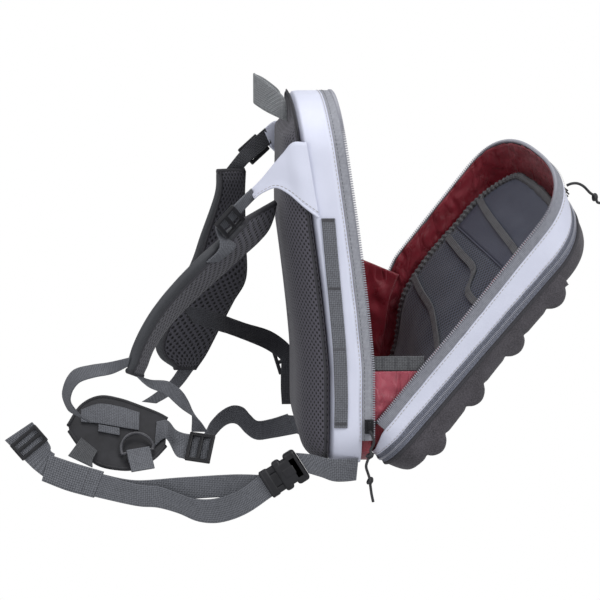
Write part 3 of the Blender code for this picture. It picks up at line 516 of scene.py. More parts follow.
def zip_half(name, line, finish, tooth_out, out):
    """One half of a zip: its tape, the teeth along its edge and the row of stitches beside it.
    line(inset, depth) is a line along the zip."""
    edges = [line(i, ZIP_TAPE * d) for i, d in ((0.0004, 0), (0.0002, 0.3), (0, 0.7), (0, 1), (ZIP_THICK, 1),
        (ZIP_THICK, 0.5), (ZIP_THICK, 0))]
    keep(surface(name + "_tape", list(zip(*edges)), around=True, fill=True, sharp=50), finish, "zip_tape", name)
    small_parts(name + "_teeth", [(p, tooth_out(p, d), d) for p, d in walk(line(ZIP_THICK / 2, -0.0006),
        TOOTH_PITCH)], TOOTH, TEETH, "zip_tape")
    stitched(name + "_stitches", line(-SEAT, ZIP_TAPE + 0.0022), out)


body_heights = [z for x, z in arch(BODY_HEIGHT)]


def body_line(inset, depth):
    return open_line(body_ring(inset, depth), body_heights)


zip_half("body_zip", body_line, TAPE, lambda p, d: Vector((p.x / HALF, 0, 0.6)).cross(d), Y_AXIS)
stitched("body_zip_edge_stitches", body_line(-SEAT, ZIP_TAPE * 0.78), Y_AXIS, DARK_THREAD)


# Back pad: a thick cushion of dark spacer mesh over foam on the wearer's side, with holes in
# rows and a bound edge. It is thinner at the top, under the handle and the yokes.
BACK_BULGE = 0.03


def mesh_finish(name, hole, dark, light, depth, net=(0.5, 1.0)):
    """Spacer mesh: round holes in staggered rows between soft raised threads."""
    finish = Finish(name, light, 0.85, 0.15)
    turned = finish.node("ShaderNodeMapping", [("Vector", finish.cloth_place(hole)),
        ("Rotation", (0, 0, radians(45)))])
    cells = finish.node("ShaderNodeTexVoronoi", [("Vector", turned.outputs[0]), ("Randomness", 0.0), ("Scale", 1.0)])
    rim = finish.maths("MINIMUM", finish.maths("MULTIPLY", cells.outputs["Distance"], 2.0), 1.0)
    raised = finish.node("ShaderNodeMapRange", [(0, rim), (1, net[0]), (2, net[1])], interpolation_type="SMOOTHSTEP")
    # The holes are painted darker than the raised threads round them: painted shade in the holes, with random tone
    # from the speckle.
    shade = finish.blend(raised.outputs[0], 0.75, finish.speckle(finish.object_place(0.0012)), 0.25)
    finish.feed("Base Color", finish.tint(shade, dark, light, 0.15, 0.85))
    return finish.bump(shade, depth)


AIRMESH = mesh_finish("air_mesh", 0.0042, (0.006, 0.006, 0.008), (0.085, 0.08, 0.1), 0.001, (0.3, 0.85))
BINDING = cloth_of("edge_binding", (0.022, 0.022, 0.026), (0.062, 0.06, 0.07), 0.7, 0.0009, 0.0002)


def back_full(s):
    return (1 - 0.42 * smooth((s - 0.62) / 0.3)) * (1 - 0.85 * smooth((s - 0.89) / 0.05))


def pad_ring(inset, share):
    return [on_body(x, BODY_DEPTH + 0.0006 + BACK_BULGE * share * back_full(z / BODY_HEIGHT), z)
        for x, z in arch(BODY_HEIGHT, inset)]


pad_marks = [(0.105, 0.0), (0.06, 0.0), (0.003, 0.0), (0.0015, 0.03), (0.0015, 0.16), (0.006, 0.45), (0.017, 0.78),
    (0.036, 0.95), (0.062, 1.0), (0.09, 1.0), (MIDDLE, 1.0)]
pad_rows = place_rows([Vector((a, b, 0)) for a, b in pad_marks], 4)
pad_rows = [pad_ring(m.x, clamp(m.y)) for m in pad_rows]
back_pad = keep(surface("back_pad_mesh", pad_rows, around=True, fill=True), AIRMESH, "air_mesh", "back_pad")
weave_at = back_pad.data.uv_layers["cloth"].data
for loop in back_pad.data.loops:
    p = back_pad.data.vertices[loop.vertex_index].co + HANG
    fall = BACK_BULGE * back_full(p.z / BODY_HEIGHT) - (p.y - bow(p.z) - BODY_DEPTH)
    weave_at[loop.index].uv = (p.x + copysign(fall, p.x), p.z)


def rolled(name, line, radius, finish, slot, *nodes, flat=1.0, up=Z_AXIS, closed=False, gather=0.0, waves=0.004):
    """Rolled strip of cloth along a line, flattened if asked, with gathers along it."""
    rows, run = [], 0.0
    for i, p in enumerate(line):
        nxt, prv = line[(i + 1) % len(line)], line[i - 1]
        if not closed:
            nxt, prv = line[min(i + 1, len(line) - 1)], line[max(i - 1, 0)]
        run += (p - line[i - 1]).length if i else 0.0
        d = (nxt - prv).normalized()
        v = d.cross(up).normalized()
        w = v.cross(d)
        row = []
        for a in (tau * k / 12 for k in range(12)):
            r = radius * (1 + gather * sin(run / waves * tau + a) + gather * noise(p / 0.006))
            row.append(p + v * r * cos(a) + w * r * flat * sin(a))
        rows.append(row)
    return keep(surface(name, rows, around=True, hoop=closed, fill=not closed), finish, slot, *nodes)


rolled("back_pad_binding", pad_ring(0.0022, 0.1), 0.0016, BINDING, "air_mesh", closed=True, up=Y_AXIS)


# Lid: the front of the pack, folded down and open. Its side is coated cloth, its mouth has the
# other half of the zip, and the whole tray leans forward and twists about its near edge.
LID_LENGTH = 0.33
LID_TAPER = 0.017
LID_SIDE_LOW = 0.029
LID_SIDE_HIGH = 0.042
LEAN = radians(40.8)
TWIST = radians(15.0)
TWIST_LENGTH = 0.12
HINGE_FORWARD = 0.009
HINGE_UP = 0.004
COIL = 0.005


def lid_axes(t):
    turn = TWIST * smooth((t - CORNER) / TWIST_LENGTH)
    along = Vector((0, -sin(LEAN), cos(LEAN)))
    level = Vector((0, -cos(LEAN), -sin(LEAN)))
    across = X_AXIS * cos(turn) - level * sin(turn)
    return across, along, across.cross(along)


def on_lid(x, depth, t):
    """x across the lid, depth out of its front, t up along it from the hinge."""
    across, along, out = lid_axes(t)
    return Vector((-HALF, -HINGE_FORWARD, HINGE_UP)) + along * t + across * (x + HALF) + out * depth


def lid_height(depth):
    return LID_LENGTH - LID_TAPER - LID_TAPER * depth / LID_SIDE_HIGH


def lid_mouth(x, t):
    side = LID_SIDE_LOW + (LID_SIDE_HIGH - LID_SIDE_LOW) * t / LID_LENGTH
    return -min(side, (on_lid(x, 0, t).y + 0.0015) / lid_axes(t)[2].y)


def lid_ring(inset, depth):
    """depth is a number, or a function of the place on the lid."""
    if callable(depth):
        return [on_lid(x, depth(x, t), t) for x, t in arch(LID_LENGTH, inset)]
    return [on_lid(x, depth, t) for x, t in arch(lid_height(depth), inset)]


def lid_wall(x, t):
    return min(lid_mouth(x, t) + (ZIP_TAPE + 0.0003) * clamp(t / ZIP_START), -COIL - WALL * 2)


wall_front = lid_ring(skin, -COIL - 0.0003)
wall_edge = lid_ring(skin, lid_wall)
wall_rows = [[a.lerp(b, k / 8) for a, b in zip(wall_edge, wall_front)] for k in range(9)]
wall_rows = ripple(wall_rows, 0.0005, 0.02)
keep(surface("lid_cloth", wall_rows, around=True, thick=WALL * 0.8), COATED, "coated_cloth", "lid_shell")

lid_heights = [t for x, t in arch(LID_LENGTH)]


def lid_line(inset, shift):
    return open_line(lid_ring(inset, lambda x, t: lid_mouth(x, t) + shift), lid_heights)


lid_out = lid_axes(LID_LENGTH)[2]
zip_half("lid_zip", lid_line, LID_TAPE, lambda p, d: d.cross(lid_out), lid_out)

# The closed coil zip between side wall and moulded front: two tapes, a raised coil in the
# middle and a narrow welt on each side of it.
coil_rows = [lid_ring(i, d * COIL) for i, d in ((0.0, -1), (-0.0002, -0.8), (0.0002, -0.5), (0.0004, -0.3),
    (-0.0006, -0.2), (-0.0009, 0.0), (-0.0006, 0.2), (0.0004, 0.3), (0.0002, 0.5), (-0.0002, 0.8), (0.0, 1),
    (ZIP_THICK, 1), (ZIP_THICK, 0), (ZIP_THICK, -1))]
keep(surface("front_coil_zip", coil_rows, around=True, hoop=True, sharp=60), SLATE_TAPE, "zip_tape", "front_zip")
small_parts("front_coil_teeth", [(p, lid_out, d) for p, d in walk(lid_ring(-0.0009, 0.0), 0.0016)],
    (0.003, 0.0009, 0.0012), TEETH, "zip_tape")
stitched("front_zip_low_stitches", lid_ring(-SEAT, COIL * 0.72), lid_out, DARK_THREAD)
stitched("front_zip_high_stitches", lid_ring(-SEAT, -COIL * 0.72), lid_out, DARK_THREAD)
stitched("lid_welt_stitches", lid_ring(-SEAT, -COIL - 0.002), lid_out)


# Moulded front: dark speckled cloth pressed over foam, a dome with four thick ridges across it
# that run round onto its sides, and a bound flange along the zip.
COVER_DEPTH = 0.026
COVER_WALL = 0.004
RIDGE_HEIGHT = 0.0078
RIDGE_FIRST = 0.146
RIDGE_PITCH = 0.186
RIDGE_COUNT = 4
RIDGE_WIDTH = 0.215
RIDGE_CREASE = 0.13

FOAM = Finish("moulded_foam", (0.075, 0.066, 0.074), 0.85, sheen=0.1)
grain = FOAM.speckle(FOAM.object_place(0.0011), 4.0)
drift = FOAM.speckle(FOAM.object_place(0.02), 2.0)
FOAM.feed("Base Color", FOAM.tint(FOAM.blend(grain, 0.75, drift, 0.25), (0.032, 0.029, 0.034), (0.098, 0.09, 0.103),
    0.36, 0.64))
FOAM.bump(grain, 0.0004)


def cover_rim(x, t, height):
    near = min(HALF - abs(x), t)
    flat = HALF - CORNER
    if abs(x) > flat and t < CORNER:
        near = CORNER - hypot(abs(x) - flat, CORNER - t)
    high = height - ARCH_RISE
    if t > high:
        near = min(near, ARCH_RISE * (1 - ((abs(x) / HALF) ** 2.5 + ((t - high) / ARCH_RISE) ** 2.5) ** 0.4))
    return max(near, 0.0)


def ridge(t):
    """A half-round ridge across the dome, with a narrow crease at its foot on each side."""
    s = (t - LID_LENGTH * RIDGE_FIRST) / (LID_LENGTH * RIDGE_PITCH)
    k = round(s)
    if k < 0 or k >= RIDGE_COUNT:
        return 0.0
    off = abs(s - k) / RIDGE_WIDTH
    foot = RIDGE_CREASE * exp(-((off - 1.1) * 5) ** 2)
    return cos(min(off, 1) * pi / 2) ** 0.75 - foot


def dome(x, t, tall):
    near = cover_rim(x, t, tall)
    rise = COVER_DEPTH * (1 - (1 - clamp(near / 0.016)) ** 2.6)
    return COIL + 0.0004 + rise + RIDGE_HEIGHT * ridge(t) * smooth((near - 0.003) / 0.009)


def cover_rows():
    """Dense grid over the dome: lines across it, each from edge to edge."""
    tall = lid_height(COIL)
    high = tall - ARCH_RISE
    rows = []
    for i in range(221):
        f = i / 220
        t = tall * (0.5 - 0.5 * cos(pi * f)) * 0.35 + tall * f * 0.65
        if t < CORNER:
            w = HALF - CORNER + sqrt(max(CORNER ** 2 - (CORNER - t) ** 2, 0))
        else:
            w = max(HALF * max(1 - clamp((t - high) / ARCH_RISE) ** 2.5, 0) ** 0.4, 0.004)
        row = []
        for j in range(61):
            x = w * sin(pi / 2 * (j - 30) / 30)
            row.append(on_lid(x, dome(x, t, tall), t))
        rows.append(row)
    return rows


keep(surface("moulded_front", cover_rows(), thick=COVER_WALL * 0.7, offset=-1), FOAM, "moulded_foam", "front_cover")
flange = [on_lid(x, COIL + 0.0022, t) for x, t in arch(lid_height(COIL), 0.0004)]
rolled("front_flange", flange, 0.0018, BINDING, "moulded_foam", closed=True, up=lid_out)

# Lid lining: shiny red nylon, slack enough to crumple along the mouth and in the corners.
lid_inner = WALL + 0.0012
lid_floor = -COIL + 0.002


def lining_mouth(x, t):
    return min(lid_mouth(x, t) + LINING, lid_floor - 0.006)


floor_rows = fill_rings([(MIDDLE, lid_floor - 0.0008), (0.06, lid_floor - 0.0008),
    (lid_inner + 0.005, lid_floor - 0.0008), (lid_inner + 0.001, lid_floor - 0.003)], lid_ring, 5)
mouth_ring = lid_ring(lid_inner, lining_mouth)
floor_rows += [[a.lerp(b, k / 12) for a, b in zip(floor_rows[-1], mouth_ring)] for k in range(1, 13)]


def crumple(p, amount):
    q = Vector((p.x, p.y * 0.7, p.z * 0.5)) / 0.009
    fold = abs(noise(q)) ** 0.6 * 2.4 - 0.35
    lift = Vector((-p.x / HALF, 0.3, 0.25)).normalized() * amount * fold
    return p + lift + Vector(noise_vector(q * 2)) * amount * 0.3


crumpled = []
for i, row in enumerate(floor_rows):
    depth_share = clamp((i - 14) / 4) * (1 - 0.5 * clamp((i - 24) / 3))
    crumpled.append([crumple(p, 0.0004 + 0.003 * depth_share * smooth((t - 0.05) / 0.08))
        for p, (x, t) in zip(row, arch(LID_LENGTH, lid_inner))])
keep(surface("lid_lining_cloth", closed_middle(crumpled), around=True, thick=LINING, offset=0), NYLON, "red_nylon",
    "lid_lining")


# Pocket inside the lid: a dark blue mesh panel with a plain cloth top, held off the lining by a
# gathered grey elastic edge. Three elastic loops cross it to hold tools.
POCKET_DEPTH = -LID_SIDE_LOW * 0.6
POCKET_FREE = HALF - 0.03
POCKET_WALL = HALF - WALL - 0.0004 - LINING - 0.001


def pairs_of(table):
    return [(Vector(r[:3]), Vector(r[3:])) for r in table]


def strap_rows(table, spans):
    """Smooth edges through a table's rows, each row two places."""
    return list(zip(*(place_rows(list(edge), spans) for edge in zip(*pairs_of(table)))))


def lie_of(edges, i):
    """Direction along a strip at its pair i, and the normal of its face there."""
    before, after = edges[max(i - 1, 0)], edges[min(i + 1, len(edges) - 1)]
    along = (after[0] + after[1] - before[0] - before[1]).normalized()
    return along, along.cross((edges[i][1] - edges[i][0]).normalized()).normalized()


def in_lid(rows):
    return [(*on_lid(*r[:3]), *on_lid(*r[3:])) for r in rows]


def cloth_sheet(name, table, thick, finish, slot, *nodes, held, rests_on, spans=8, across=14, folds=0.0, size=0.02):
    """Sheet of cloth through a table's rows, with soft folds away from its edges."""
    rows = []
    for a, b in strap_rows(table, spans):
        rows.append([a.lerp(b, j / across) for j in range(across + 1)])
    normal = (rows[0][-1] - rows[0][0]).cross(rows[-1][0] - rows[0][0]).normalized()
    made = []
    for i, row in enumerate(rows):
        line = []
        for j, p in enumerate(row):
            free = min(1, 4 * min(j, across - j) / across) * min(1, 4 * min(i, len(rows) - 1 - i) / len(rows) + 0.2)
            line.append(p + normal * folds * free * noise(p / size))
        made.append(line)
    obj = keep(surface(name, made, thick=thick, offset=0), finish, slot, *nodes)


POCKET_NET = mesh_finish("pocket_net", 0.004, (0.002, 0.003, 0.006), (0.042, 0.052, 0.088), 0.0006, (0.45, 0.95))
PLAIN_BLUE = cloth_of("plain_blue_cloth", (0.03, 0.035, 0.055), (0.058, 0.066, 0.1), 0.55, 0.0006, 0.00005)
ELASTIC = cloth_of("grey_elastic", (0.03, 0.03, 0.033), (0.15, 0.155, 0.165), 0.75, 0.0016, 0.0004)
pocket_table = [(-0.86, 0.95, 0.018), (-0.98, 1, CORNER), (-1, 1, 0.085), (-1, 1, 0.13), (-1, 1, 0.175),
    (-1, 1, 0.22), (-0.98, 0.98, 0.252), (-0.93, 0.84, 0.279), (-0.72, 0.58, 0.2995)]
pocket_rows = in_lid([(near * POCKET_WALL, POCKET_DEPTH, t, far * POCKET_FREE, POCKET_DEPTH, t)
    for near, far, t in pocket_table])
cloth_sheet("pocket_net_panel", pocket_rows[:6], 0.0008, POCKET_NET, "pocket_mesh", "pocket_panel", held="stretched",
    rests_on="lid_lining_cloth", across=24, folds=0.0022, size=0.03)
cloth_sheet("pocket_plain_panel", pocket_rows[5:], 0.0009, PLAIN_BLUE, "pocket_mesh", held="stretched",
    rests_on="lid_lining_cloth", across=24, folds=0.0016)
seam_row = place_rows([Vector(pocket_rows[5][:3]), Vector(pocket_rows[5][3:])], 20)
rolled("pocket_seam", [p - lid_out * 0.0006 for p in seam_row], 0.001, PLAIN_BLUE, "pocket_mesh", up=lid_out)
free_edge = POCKET_FREE + 0.0052
rim_path = [(free_edge * 0.955, 0.018), (free_edge, CORNER), (free_edge, 0.085), (free_edge, 0.13),
    (free_edge, 0.175), (free_edge, 0.22), (free_edge, 0.252), (free_edge * 0.85, 0.279), (free_edge * 0.62, 0.298),
    (0.03, 0.3015), (-0.01, 0.302), (-0.045, 0.3), (-POCKET_WALL * 0.7, 0.2965)]
rim_line = place_rows([on_lid(x, POCKET_DEPTH, t) for x, t in rim_path], 60)
rolled("pocket_elastic_edge", rim_line, 0.004, ELASTIC, "grey_webbing", "pocket_binding", up=lid_out, gather=0.17,
    waves=0.0056, flat=0.8)


# Webbing: woven strap with a thin edge and a flat middle, laid through a table of its two edges.
WEB = 0.0015
APART = 0.0003
SECTION = ((0.0, 0.35), (0.012, 0.85), (0.05, 1.0), (0.2, 1.0), (0.35, 1.0), (0.5, 1.0), (0.65, 1.0), (0.8, 1.0),
    (0.95, 1.0), (0.988, 0.85), (1.0, 0.35))


def longer(table, start, end):
    """The table with its first and last rows run on by these lengths, into what they are sewn to."""
    made = [list(r) for r in table]
    for i, j, run in ((0, 1, start), (-1, -2, end)):
        for part in (0, 3):
            edge, inner_edge = Vector(made[i][part:part + 3]), Vector(made[j][part:part + 3])
            made[i][part:part + 3] = edge + (edge - inner_edge).normalized() * run
    return made


GREY_WEB = cloth_of("grey_webbing", (0.066, 0.069, 0.078), (0.19, 0.198, 0.222), 0.7, 0.0018, 0.0004)
HEAVY_WEB = cloth_of("heavy_webbing", (0.062, 0.065, 0.074), (0.2, 0.208, 0.232), 0.7, 0.0023, 0.0005)
DARK_WEB = cloth_of("dark_webbing", (0.012, 0.012, 0.015), (0.062, 0.064, 0.075), 0.7, 0.0018, 0.0004)
# Grey webbing painted a little darker for the straps on the far side: painted shade.
SHADED_WEB = cloth_of("shaded_webbing", (0.058, 0.06, 0.069), (0.172, 0.178, 0.2), 0.7, 0.0018, 0.0004)


def webbing(node, ending, table, finish=GREY_WEB, slot="grey_webbing", thick=WEB, spans=8, slack=0.0004, sewn=(0, 0),
        nodes=None):
    """Woven strap through a table of rows, each row its two edges. It stands for the solid of its
    name, unless other nodes are given."""
    edges = strap_rows(longer(table, *sewn), spans)
    rows = []
    for i, (a, b) in enumerate(edges):
        normal = lie_of(edges, i)[1]
        wander = normal * slack * noise((a + b) / 0.03)
        top, low = ([a.lerp(b, s) + normal * side * h + wander for s, h in SECTION]
            for side in (thick / 2, -thick / 2))
        rows.append(top + low[::-1])
    keep(surface(node + ending, rows, around=True, fill=True, sharp=60), finish, slot,
        *([node] if nodes is None else nodes))


loop_lift = POCKET_DEPTH - 0.0026
for place, path in (("upper", ((0.0825, 0.256), (0.045, 0.251), (0.0, 0.247), (-0.05, 0.243), (-0.098, 0.238))),
        ("middle", ((0.0825, 0.206), (0.03, 0.203), (-0.02, 0.2), (-0.045, 0.18), (-0.1, 0.178))),
        ("lower", ((0.0825, 0.152), (0.04, 0.146), (0.0, 0.142), (-0.04, 0.13), (-0.1, 0.112)))):
    webbing("elastic_loop_" + place, "_strap", in_lid([(x, loop_lift, t - 0.0037, x, loop_lift, t + 0.0037)
        for x, t in path]), ELASTIC, thick=0.0014)
    tacks = [(on_lid(x, loop_lift - 0.0009, t + s * 0.0012), *lid_axes(t)[:2])
        for x, t in path[1:4] for s in (-2, -1, 0, 1, 2)]
    small_parts("elastic_loop_" + place + "_tacks", tacks, (0.0026, 0.0006, 0.0006), DARK_THREAD, "grey_webbing")


# Gussets and hinge: red cloth wings that fold between body and lid, one with a grey band of
# sewn loops, and the strip along the bottom that the lid turns on.
GUSSET_SIDE = HALF - WALL - 0.0004 - LINING - 0.0009
near_fold = [(-GUSSET_SIDE, 0.005, BODY_HEIGHT * 0.128, 0.0075 - GUSSET_SIDE, -0.014, BODY_HEIGHT * 0.13),
    (-GUSSET_SIDE, 0.005, BODY_HEIGHT * 0.18, 0.003 - GUSSET_SIDE, -0.031, BODY_HEIGHT * 0.18),
    (-GUSSET_SIDE, 0.005, BODY_HEIGHT * 0.264, 0.001 - GUSSET_SIDE, -0.049, BODY_HEIGHT * 0.264)]
far_fold = [(GUSSET_SIDE, 0.005, BODY_HEIGHT * 0.128, GUSSET_SIDE - 0.0075, -0.014, BODY_HEIGHT * 0.131),
    (GUSSET_SIDE, 0.005, BODY_HEIGHT * 0.25, GUSSET_SIDE - 0.01, -0.026, BODY_HEIGHT * 0.255),
    (GUSSET_SIDE, 0.006, BODY_HEIGHT * 0.39, GUSSET_SIDE - 0.018, -0.032, BODY_HEIGHT * 0.378),
    (GUSSET_SIDE, 0.007, BODY_HEIGHT * 0.51, GUSSET_SIDE - 0.021, -0.042, BODY_HEIGHT * 0.458)]
# The near wing wears the lighter copy of the red nylon, with its painted highlight.
cloth_sheet("near_gusset_cloth", near_fold, 0.0009, HIGHLIT_NYLON, "red_nylon", "near_gusset", held="folded",
    rests_on="body_lining_cloth", spans=16, across=24, folds=0.003, size=0.011)
cloth_sheet("far_gusset_cloth", far_fold, 0.0009, NYLON, "red_nylon", "far_gusset", held="folded",
    rests_on="body_lining_cloth", spans=14, across=24, folds=0.005, size=0.015)
band_x = GUSSET_SIDE - 0.0004
band_rows = [(-band_x, y, BODY_HEIGHT * 0.267, -band_x, y, BODY_HEIGHT * 0.305) for y in (0.006, -0.022, -0.05)]
webbing("near_gusset_band", "_strap", band_rows, ELASTIC, thick=0.0018)
for k in range(3):
    tacks = [(Vector((-band_x - 0.0011, -0.01 - 0.0125 * k, BODY_HEIGHT * (0.272 + 0.0035 * i))), Y_AXIS, Z_AXIS)
        for i in range(9)]
    small_parts(f"gusset_band_tack_{k}", tacks, (0.0016, 0.0007, 0.0007), DARK_THREAD, "grey_webbing")
hinge_foot = HALF - CORNER - 0.004
hinge_step = WALL + 0.0004 + LINING + 0.0016
hinge_lip = on_lid(0, lining_mouth(0, WALL + 0.0004), WALL + 0.0004)
hinge_in = on_lid(0, lid_mouth(0, hinge_step) + 0.002, hinge_step + 0.002)
hinge_rows = [(-hinge_foot, y, z, hinge_foot, y, z) for y, z in ((0.016, hinge_step), (0.007, hinge_step),
    (hinge_lip.y + 0.003, hinge_lip.z - 0.0015), (hinge_in.y, hinge_in.z + 0.001))]
cloth_sheet("hinge_cloth", hinge_rows, 0.001, NYLON, "red_nylon", "hinge_panel", held="folded",
    rests_on="body_lining_cloth", across=30, folds=0.0005, size=0.01)


# Webbing sewn down both sides of the body, with a bar tack wherever it makes a loop, the tab at
# the far edge, and the grab handle of wide twill webbing on the upper back.
SIDE_WEB_WIDTH = 0.013
HANDLE_WIDTH = 0.03
HANDLE_SPAN = 0.1
HANDLE_BULGE = 0.035
HANDLE_LEVEL = 0.35
for place, out in (("near", -1), ("far", 1)):
    x = out * (HALF + APART + WEB / 2)
    levels = ((0.74, CORNER + 0.001), (0.73, BODY_HEIGHT * 0.2), (0.73, BODY_HEIGHT * 0.32),
        (0.71, BODY_HEIGHT * 0.44), (0.68, BODY_HEIGHT * 0.56), (0.63, BODY_HEIGHT * 0.68))
    web_half = SIDE_WEB_WIDTH / 2
    web_table = [(x, BODY_DEPTH * d - web_half + bow(z), z, x, BODY_DEPTH * d + web_half + bow(z), z)
        for d, z in levels]
    webbing("side_webbing_" + place, "_strap", web_table, spans=16, slack=0.0006)
    tacks = []
    for level in (0.045, 0.118, 0.177, 0.243):
        share = 0.74 - 0.11 * smooth((level - 0.12) / 0.13)
        for i in range(13):
            for j in (-1, 0, 1):
                tacks.append((Vector((x + out * WEB * 0.55, BODY_DEPTH * share + bow(level) + (i - 6) * 0.0009,
                    level + j * 0.0008)), Vector((0, 0.3, 1)), Y_AXIS))
    small_parts("bar_tacks_" + place, tacks, (0.0012, 0.0008, 0.0007), DARK_THREAD, "grey_webbing")
handle_reach = BODY_DEPTH + bow(HANDLE_LEVEL)
handle_half = [(-0.5, 0.14, -0.55, 0.02), (-0.48, 0.3, -0.48, 0.33), (-0.36, 0.7, -0.27, 0.7),
    (-0.16, 0.96, -0.1, 0.87)]
handle_marks = handle_half + [(0, 1, -0.07, 0.93)] + [(-x, *shares) for x, *shares in handle_half[::-1]]
handle_table = []
for x, y, *levels in handle_marks:
    low, high = (Vector((HANDLE_SPAN * x, handle_reach + HANDLE_BULGE * y, HANDLE_LEVEL + HANDLE_WIDTH * level))
        for level in levels)
    handle_table.append((*low, *high))
HANDLE_WEB = cloth_of("handle_webbing", (0.07, 0.074, 0.078), (0.38, 0.395, 0.41), 0.7, 0.0023, 0.0005)
webbing("grab_handle", "_strap", handle_table, HANDLE_WEB, thick=0.0022, slack=0.0)


def plastic_finish(name, colour, roughness):
    finish = Finish(name, colour, roughness)
    grain = finish.speckle(finish.object_place(0.0008), 2.0)
    wear = finish.speckle(finish.object_place(0.012), 3.0)
    finish.shader.inputs["Specular IOR Level"].default_value = 0.35
    finish.feed("Base Color", finish.tint(wear, colour, tuple(c * 1.7 for c in colour)))
    finish.feed("Roughness", finish.maths("ADD", finish.maths("MULTIPLY", wear, 0.2), roughness - 0.1))
    return finish.bump(grain, 0.00006)


PLASTIC = plastic_finish("black_plastic", (0.014, 0.014, 0.016), 0.42)
STEEL = plastic_finish("black_steel", (0.022, 0.022, 0.024), 0.32)
# The D-ring's black steel is painted lighter than the sliders': painted highlight along its wire.
HIGHLIT_RING_STEEL = plastic_finish("ring_steel_painted_highlight", (0.06, 0.06, 0.067), 0.28)
STEEL.shader.inputs["Metallic"].default_value = 0.7


def moulded(node, ending, parts, place, along, across, finish=PLASTIC, slot="black_plastic"):
    """Moulded piece from rounded blocks. Each part is (size, shift, rounding) in its own frame."""
    u = Vector(along).normalized()
    n = u.cross(Vector(across)).normalized()
    v = n.cross(u)
    whole = bmesh.new()
    for size, shift, rounding in parts:
        bm = bmesh.new()
        bmesh.ops.create_cube(bm, size=1)
        bmesh.ops.scale(bm, vec=size, verts=bm.verts)
        bmesh.ops.bevel(bm, geom=bm.edges, offset=rounding, segments=4, affect="EDGES", profile=0.5)
        for vert in bm.verts:
            c = vert.co + Vector(shift)
            vert.co = place - HANG + u * c.x + v * c.y + n * c.z
        mesh = bpy.data.meshes.new("block")
        bm.to_mesh(mesh)
        bm.free()
        whole.from_mesh(mesh)
        bpy.data.meshes.remove(mesh)
    keep(object_of(node + ending, whole, 50), finish, slot, node)


tab_level = BODY_HEIGHT * 0.52
moulded("edge_tab", "_block", [((0.004, 0.01, 0.012), (0, 0, 0), 0.0018),
    ((0.0046, 0.0015, 0.009), (0, 0.003, 0), 0.0006), ((0.0046, 0.0015, 0.009), (0, -0.003, 0), 0.0006)],
    Vector((HALF + 0.0023, 0.005 + bow(tab_level), tab_level)), (1, 0, 0), (0, 1, 0), DARK_WEB, "dark_webbing")


# Zip sliders: black coated metal bodies with a raised bridge that the pull cord is tied through.
for place in ("top", "bottom"):
    low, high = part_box("slider_" + place)
    middle = (low + high) / 2 + HANG
    if place == "top":
        crown_axes = lid_axes(LID_LENGTH - 0.02)
        along, across = crown_axes[0], crown_axes[2]
    else:
        along, across = Z_AXIS, Y_AXIS
    side = along.cross(across).normalized()
    sign = 1 if side.dot(Vector((-1, 0, 0.4))) > 0 else -1
    moulded("slider_" + place, "_body", [((0.014, 0.0088, 0.0016), (0, 0, -0.0016 * sign), 0.0006),
        ((0.0135, 0.0075, 0.0016), (0, 0, 0.0008 * sign), 0.0006), ((0.004, 0.003, 0.004), (0.0035, 0, 0), 0.0006),
        ((0.01, 0.0024, 0.0016), (0, 0, 0.0026 * sign), 0.0006)], middle, along, across, STEEL, "black_steel")


# Yokes: white coated cloth wings from the back of the body, with a piped lower edge, that the
# shoulder straps' webbing is sewn to.
YOKE_THICK = 0.0022
REACH = 0.318


def rows_of(table):
    """Two edges a row, in millimetres on the object."""
    return [tuple(c / 1000 for c in r) for r in table]


def on_strap(rows, i, lift, toward):
    """Place on a strap's face at row i, lifted to its near side (toward -1) or far side (1)."""
    edges = pairs_of(rows)
    along, normal = lie_of(edges, i)
    a, b = edges[i]
    if normal.x * toward < 0:
        normal = -normal
    return (a + b) / 2 + normal * lift, along, (b - a).normalized()


seat_x = (HALF + APART + YOKE_THICK / 2) * 1000
near_yoke = rows_of([(-seat_x, 64, 318, -seat_x, 52, 246), (-seat_x, 77, 318, -seat_x, 66, 257),
    (-113, 86, 308, -112, 80, 269), (-110, 96, 296, -109, 93, 275), (-107, 107, 282, -106, 106, 270),
    (-105, 118, 271, -104, 114, 264)])
far_yoke = rows_of([(seat_x, 64, 318, seat_x, 52, 246), (seat_x, 75, 322, seat_x, 68, 268),
    (112, 86, 322, 111, 81, 288), (106, 97, 314, 105, 90, 298)])
for place, table in (("near", near_yoke), ("far", far_yoke)):
    cloth_sheet("yoke_" + place + "_cloth", table, YOKE_THICK * 0.8, COATED, "coated_cloth", "yoke_" + place,
        held="stretched", rests_on="back_pad_mesh", spans=12, across=18, folds=0.0016, size=0.03)
    edge = place_rows([Vector(r[3:]) for r in table], 10)
    rolled("yoke_" + place + "_piping", edge, 0.0015, COATED, "coated_cloth", up=X_AXIS)
    inset = [a.lerp(b, 0.93) + Vector((copysign(0.0012, a.x), 0, 0)) for a, b in strap_rows(table, 10)]
    stitched("yoke_" + place + "_stitches", inset, Z_AXIS, THREAD, "coated_cloth")


# Ladder locks: moulded black frames with two slots and a ribbed middle bar, on the face of the
# webbing that they grip.
LOCK_WIDTH = 0.03
LOCK_LENGTH = 0.026
LOCK_THICK = 0.004
LOCK_BAR = 0.004


def ladder_lock(node, place, along, across, width=LOCK_WIDTH):
    slot = (LOCK_LENGTH - 3 * LOCK_BAR) / 2
    shift = slot + LOCK_BAR
    rail = width - LOCK_BAR
    bar = LOCK_BAR * 0.96
    parts = [((LOCK_LENGTH, bar, LOCK_THICK), (0, s * rail / 2, 0), 0.0012) for s in (-1, 1)]
    parts += [((bar, rail, LOCK_THICK * h), (s * shift, 0, 0), 0.0012) for s, h in ((-1, 1.0), (0, 0.85), (1, 1.0))]
    parts += [((0.0007, width - 2.2 * LOCK_BAR, 0.0008), (0.0009 * k, 0, LOCK_THICK * 0.42), 0.0002)
        for k in (-1, 0, 1)]
    moulded(node, "_frame", parts, place, along, across)


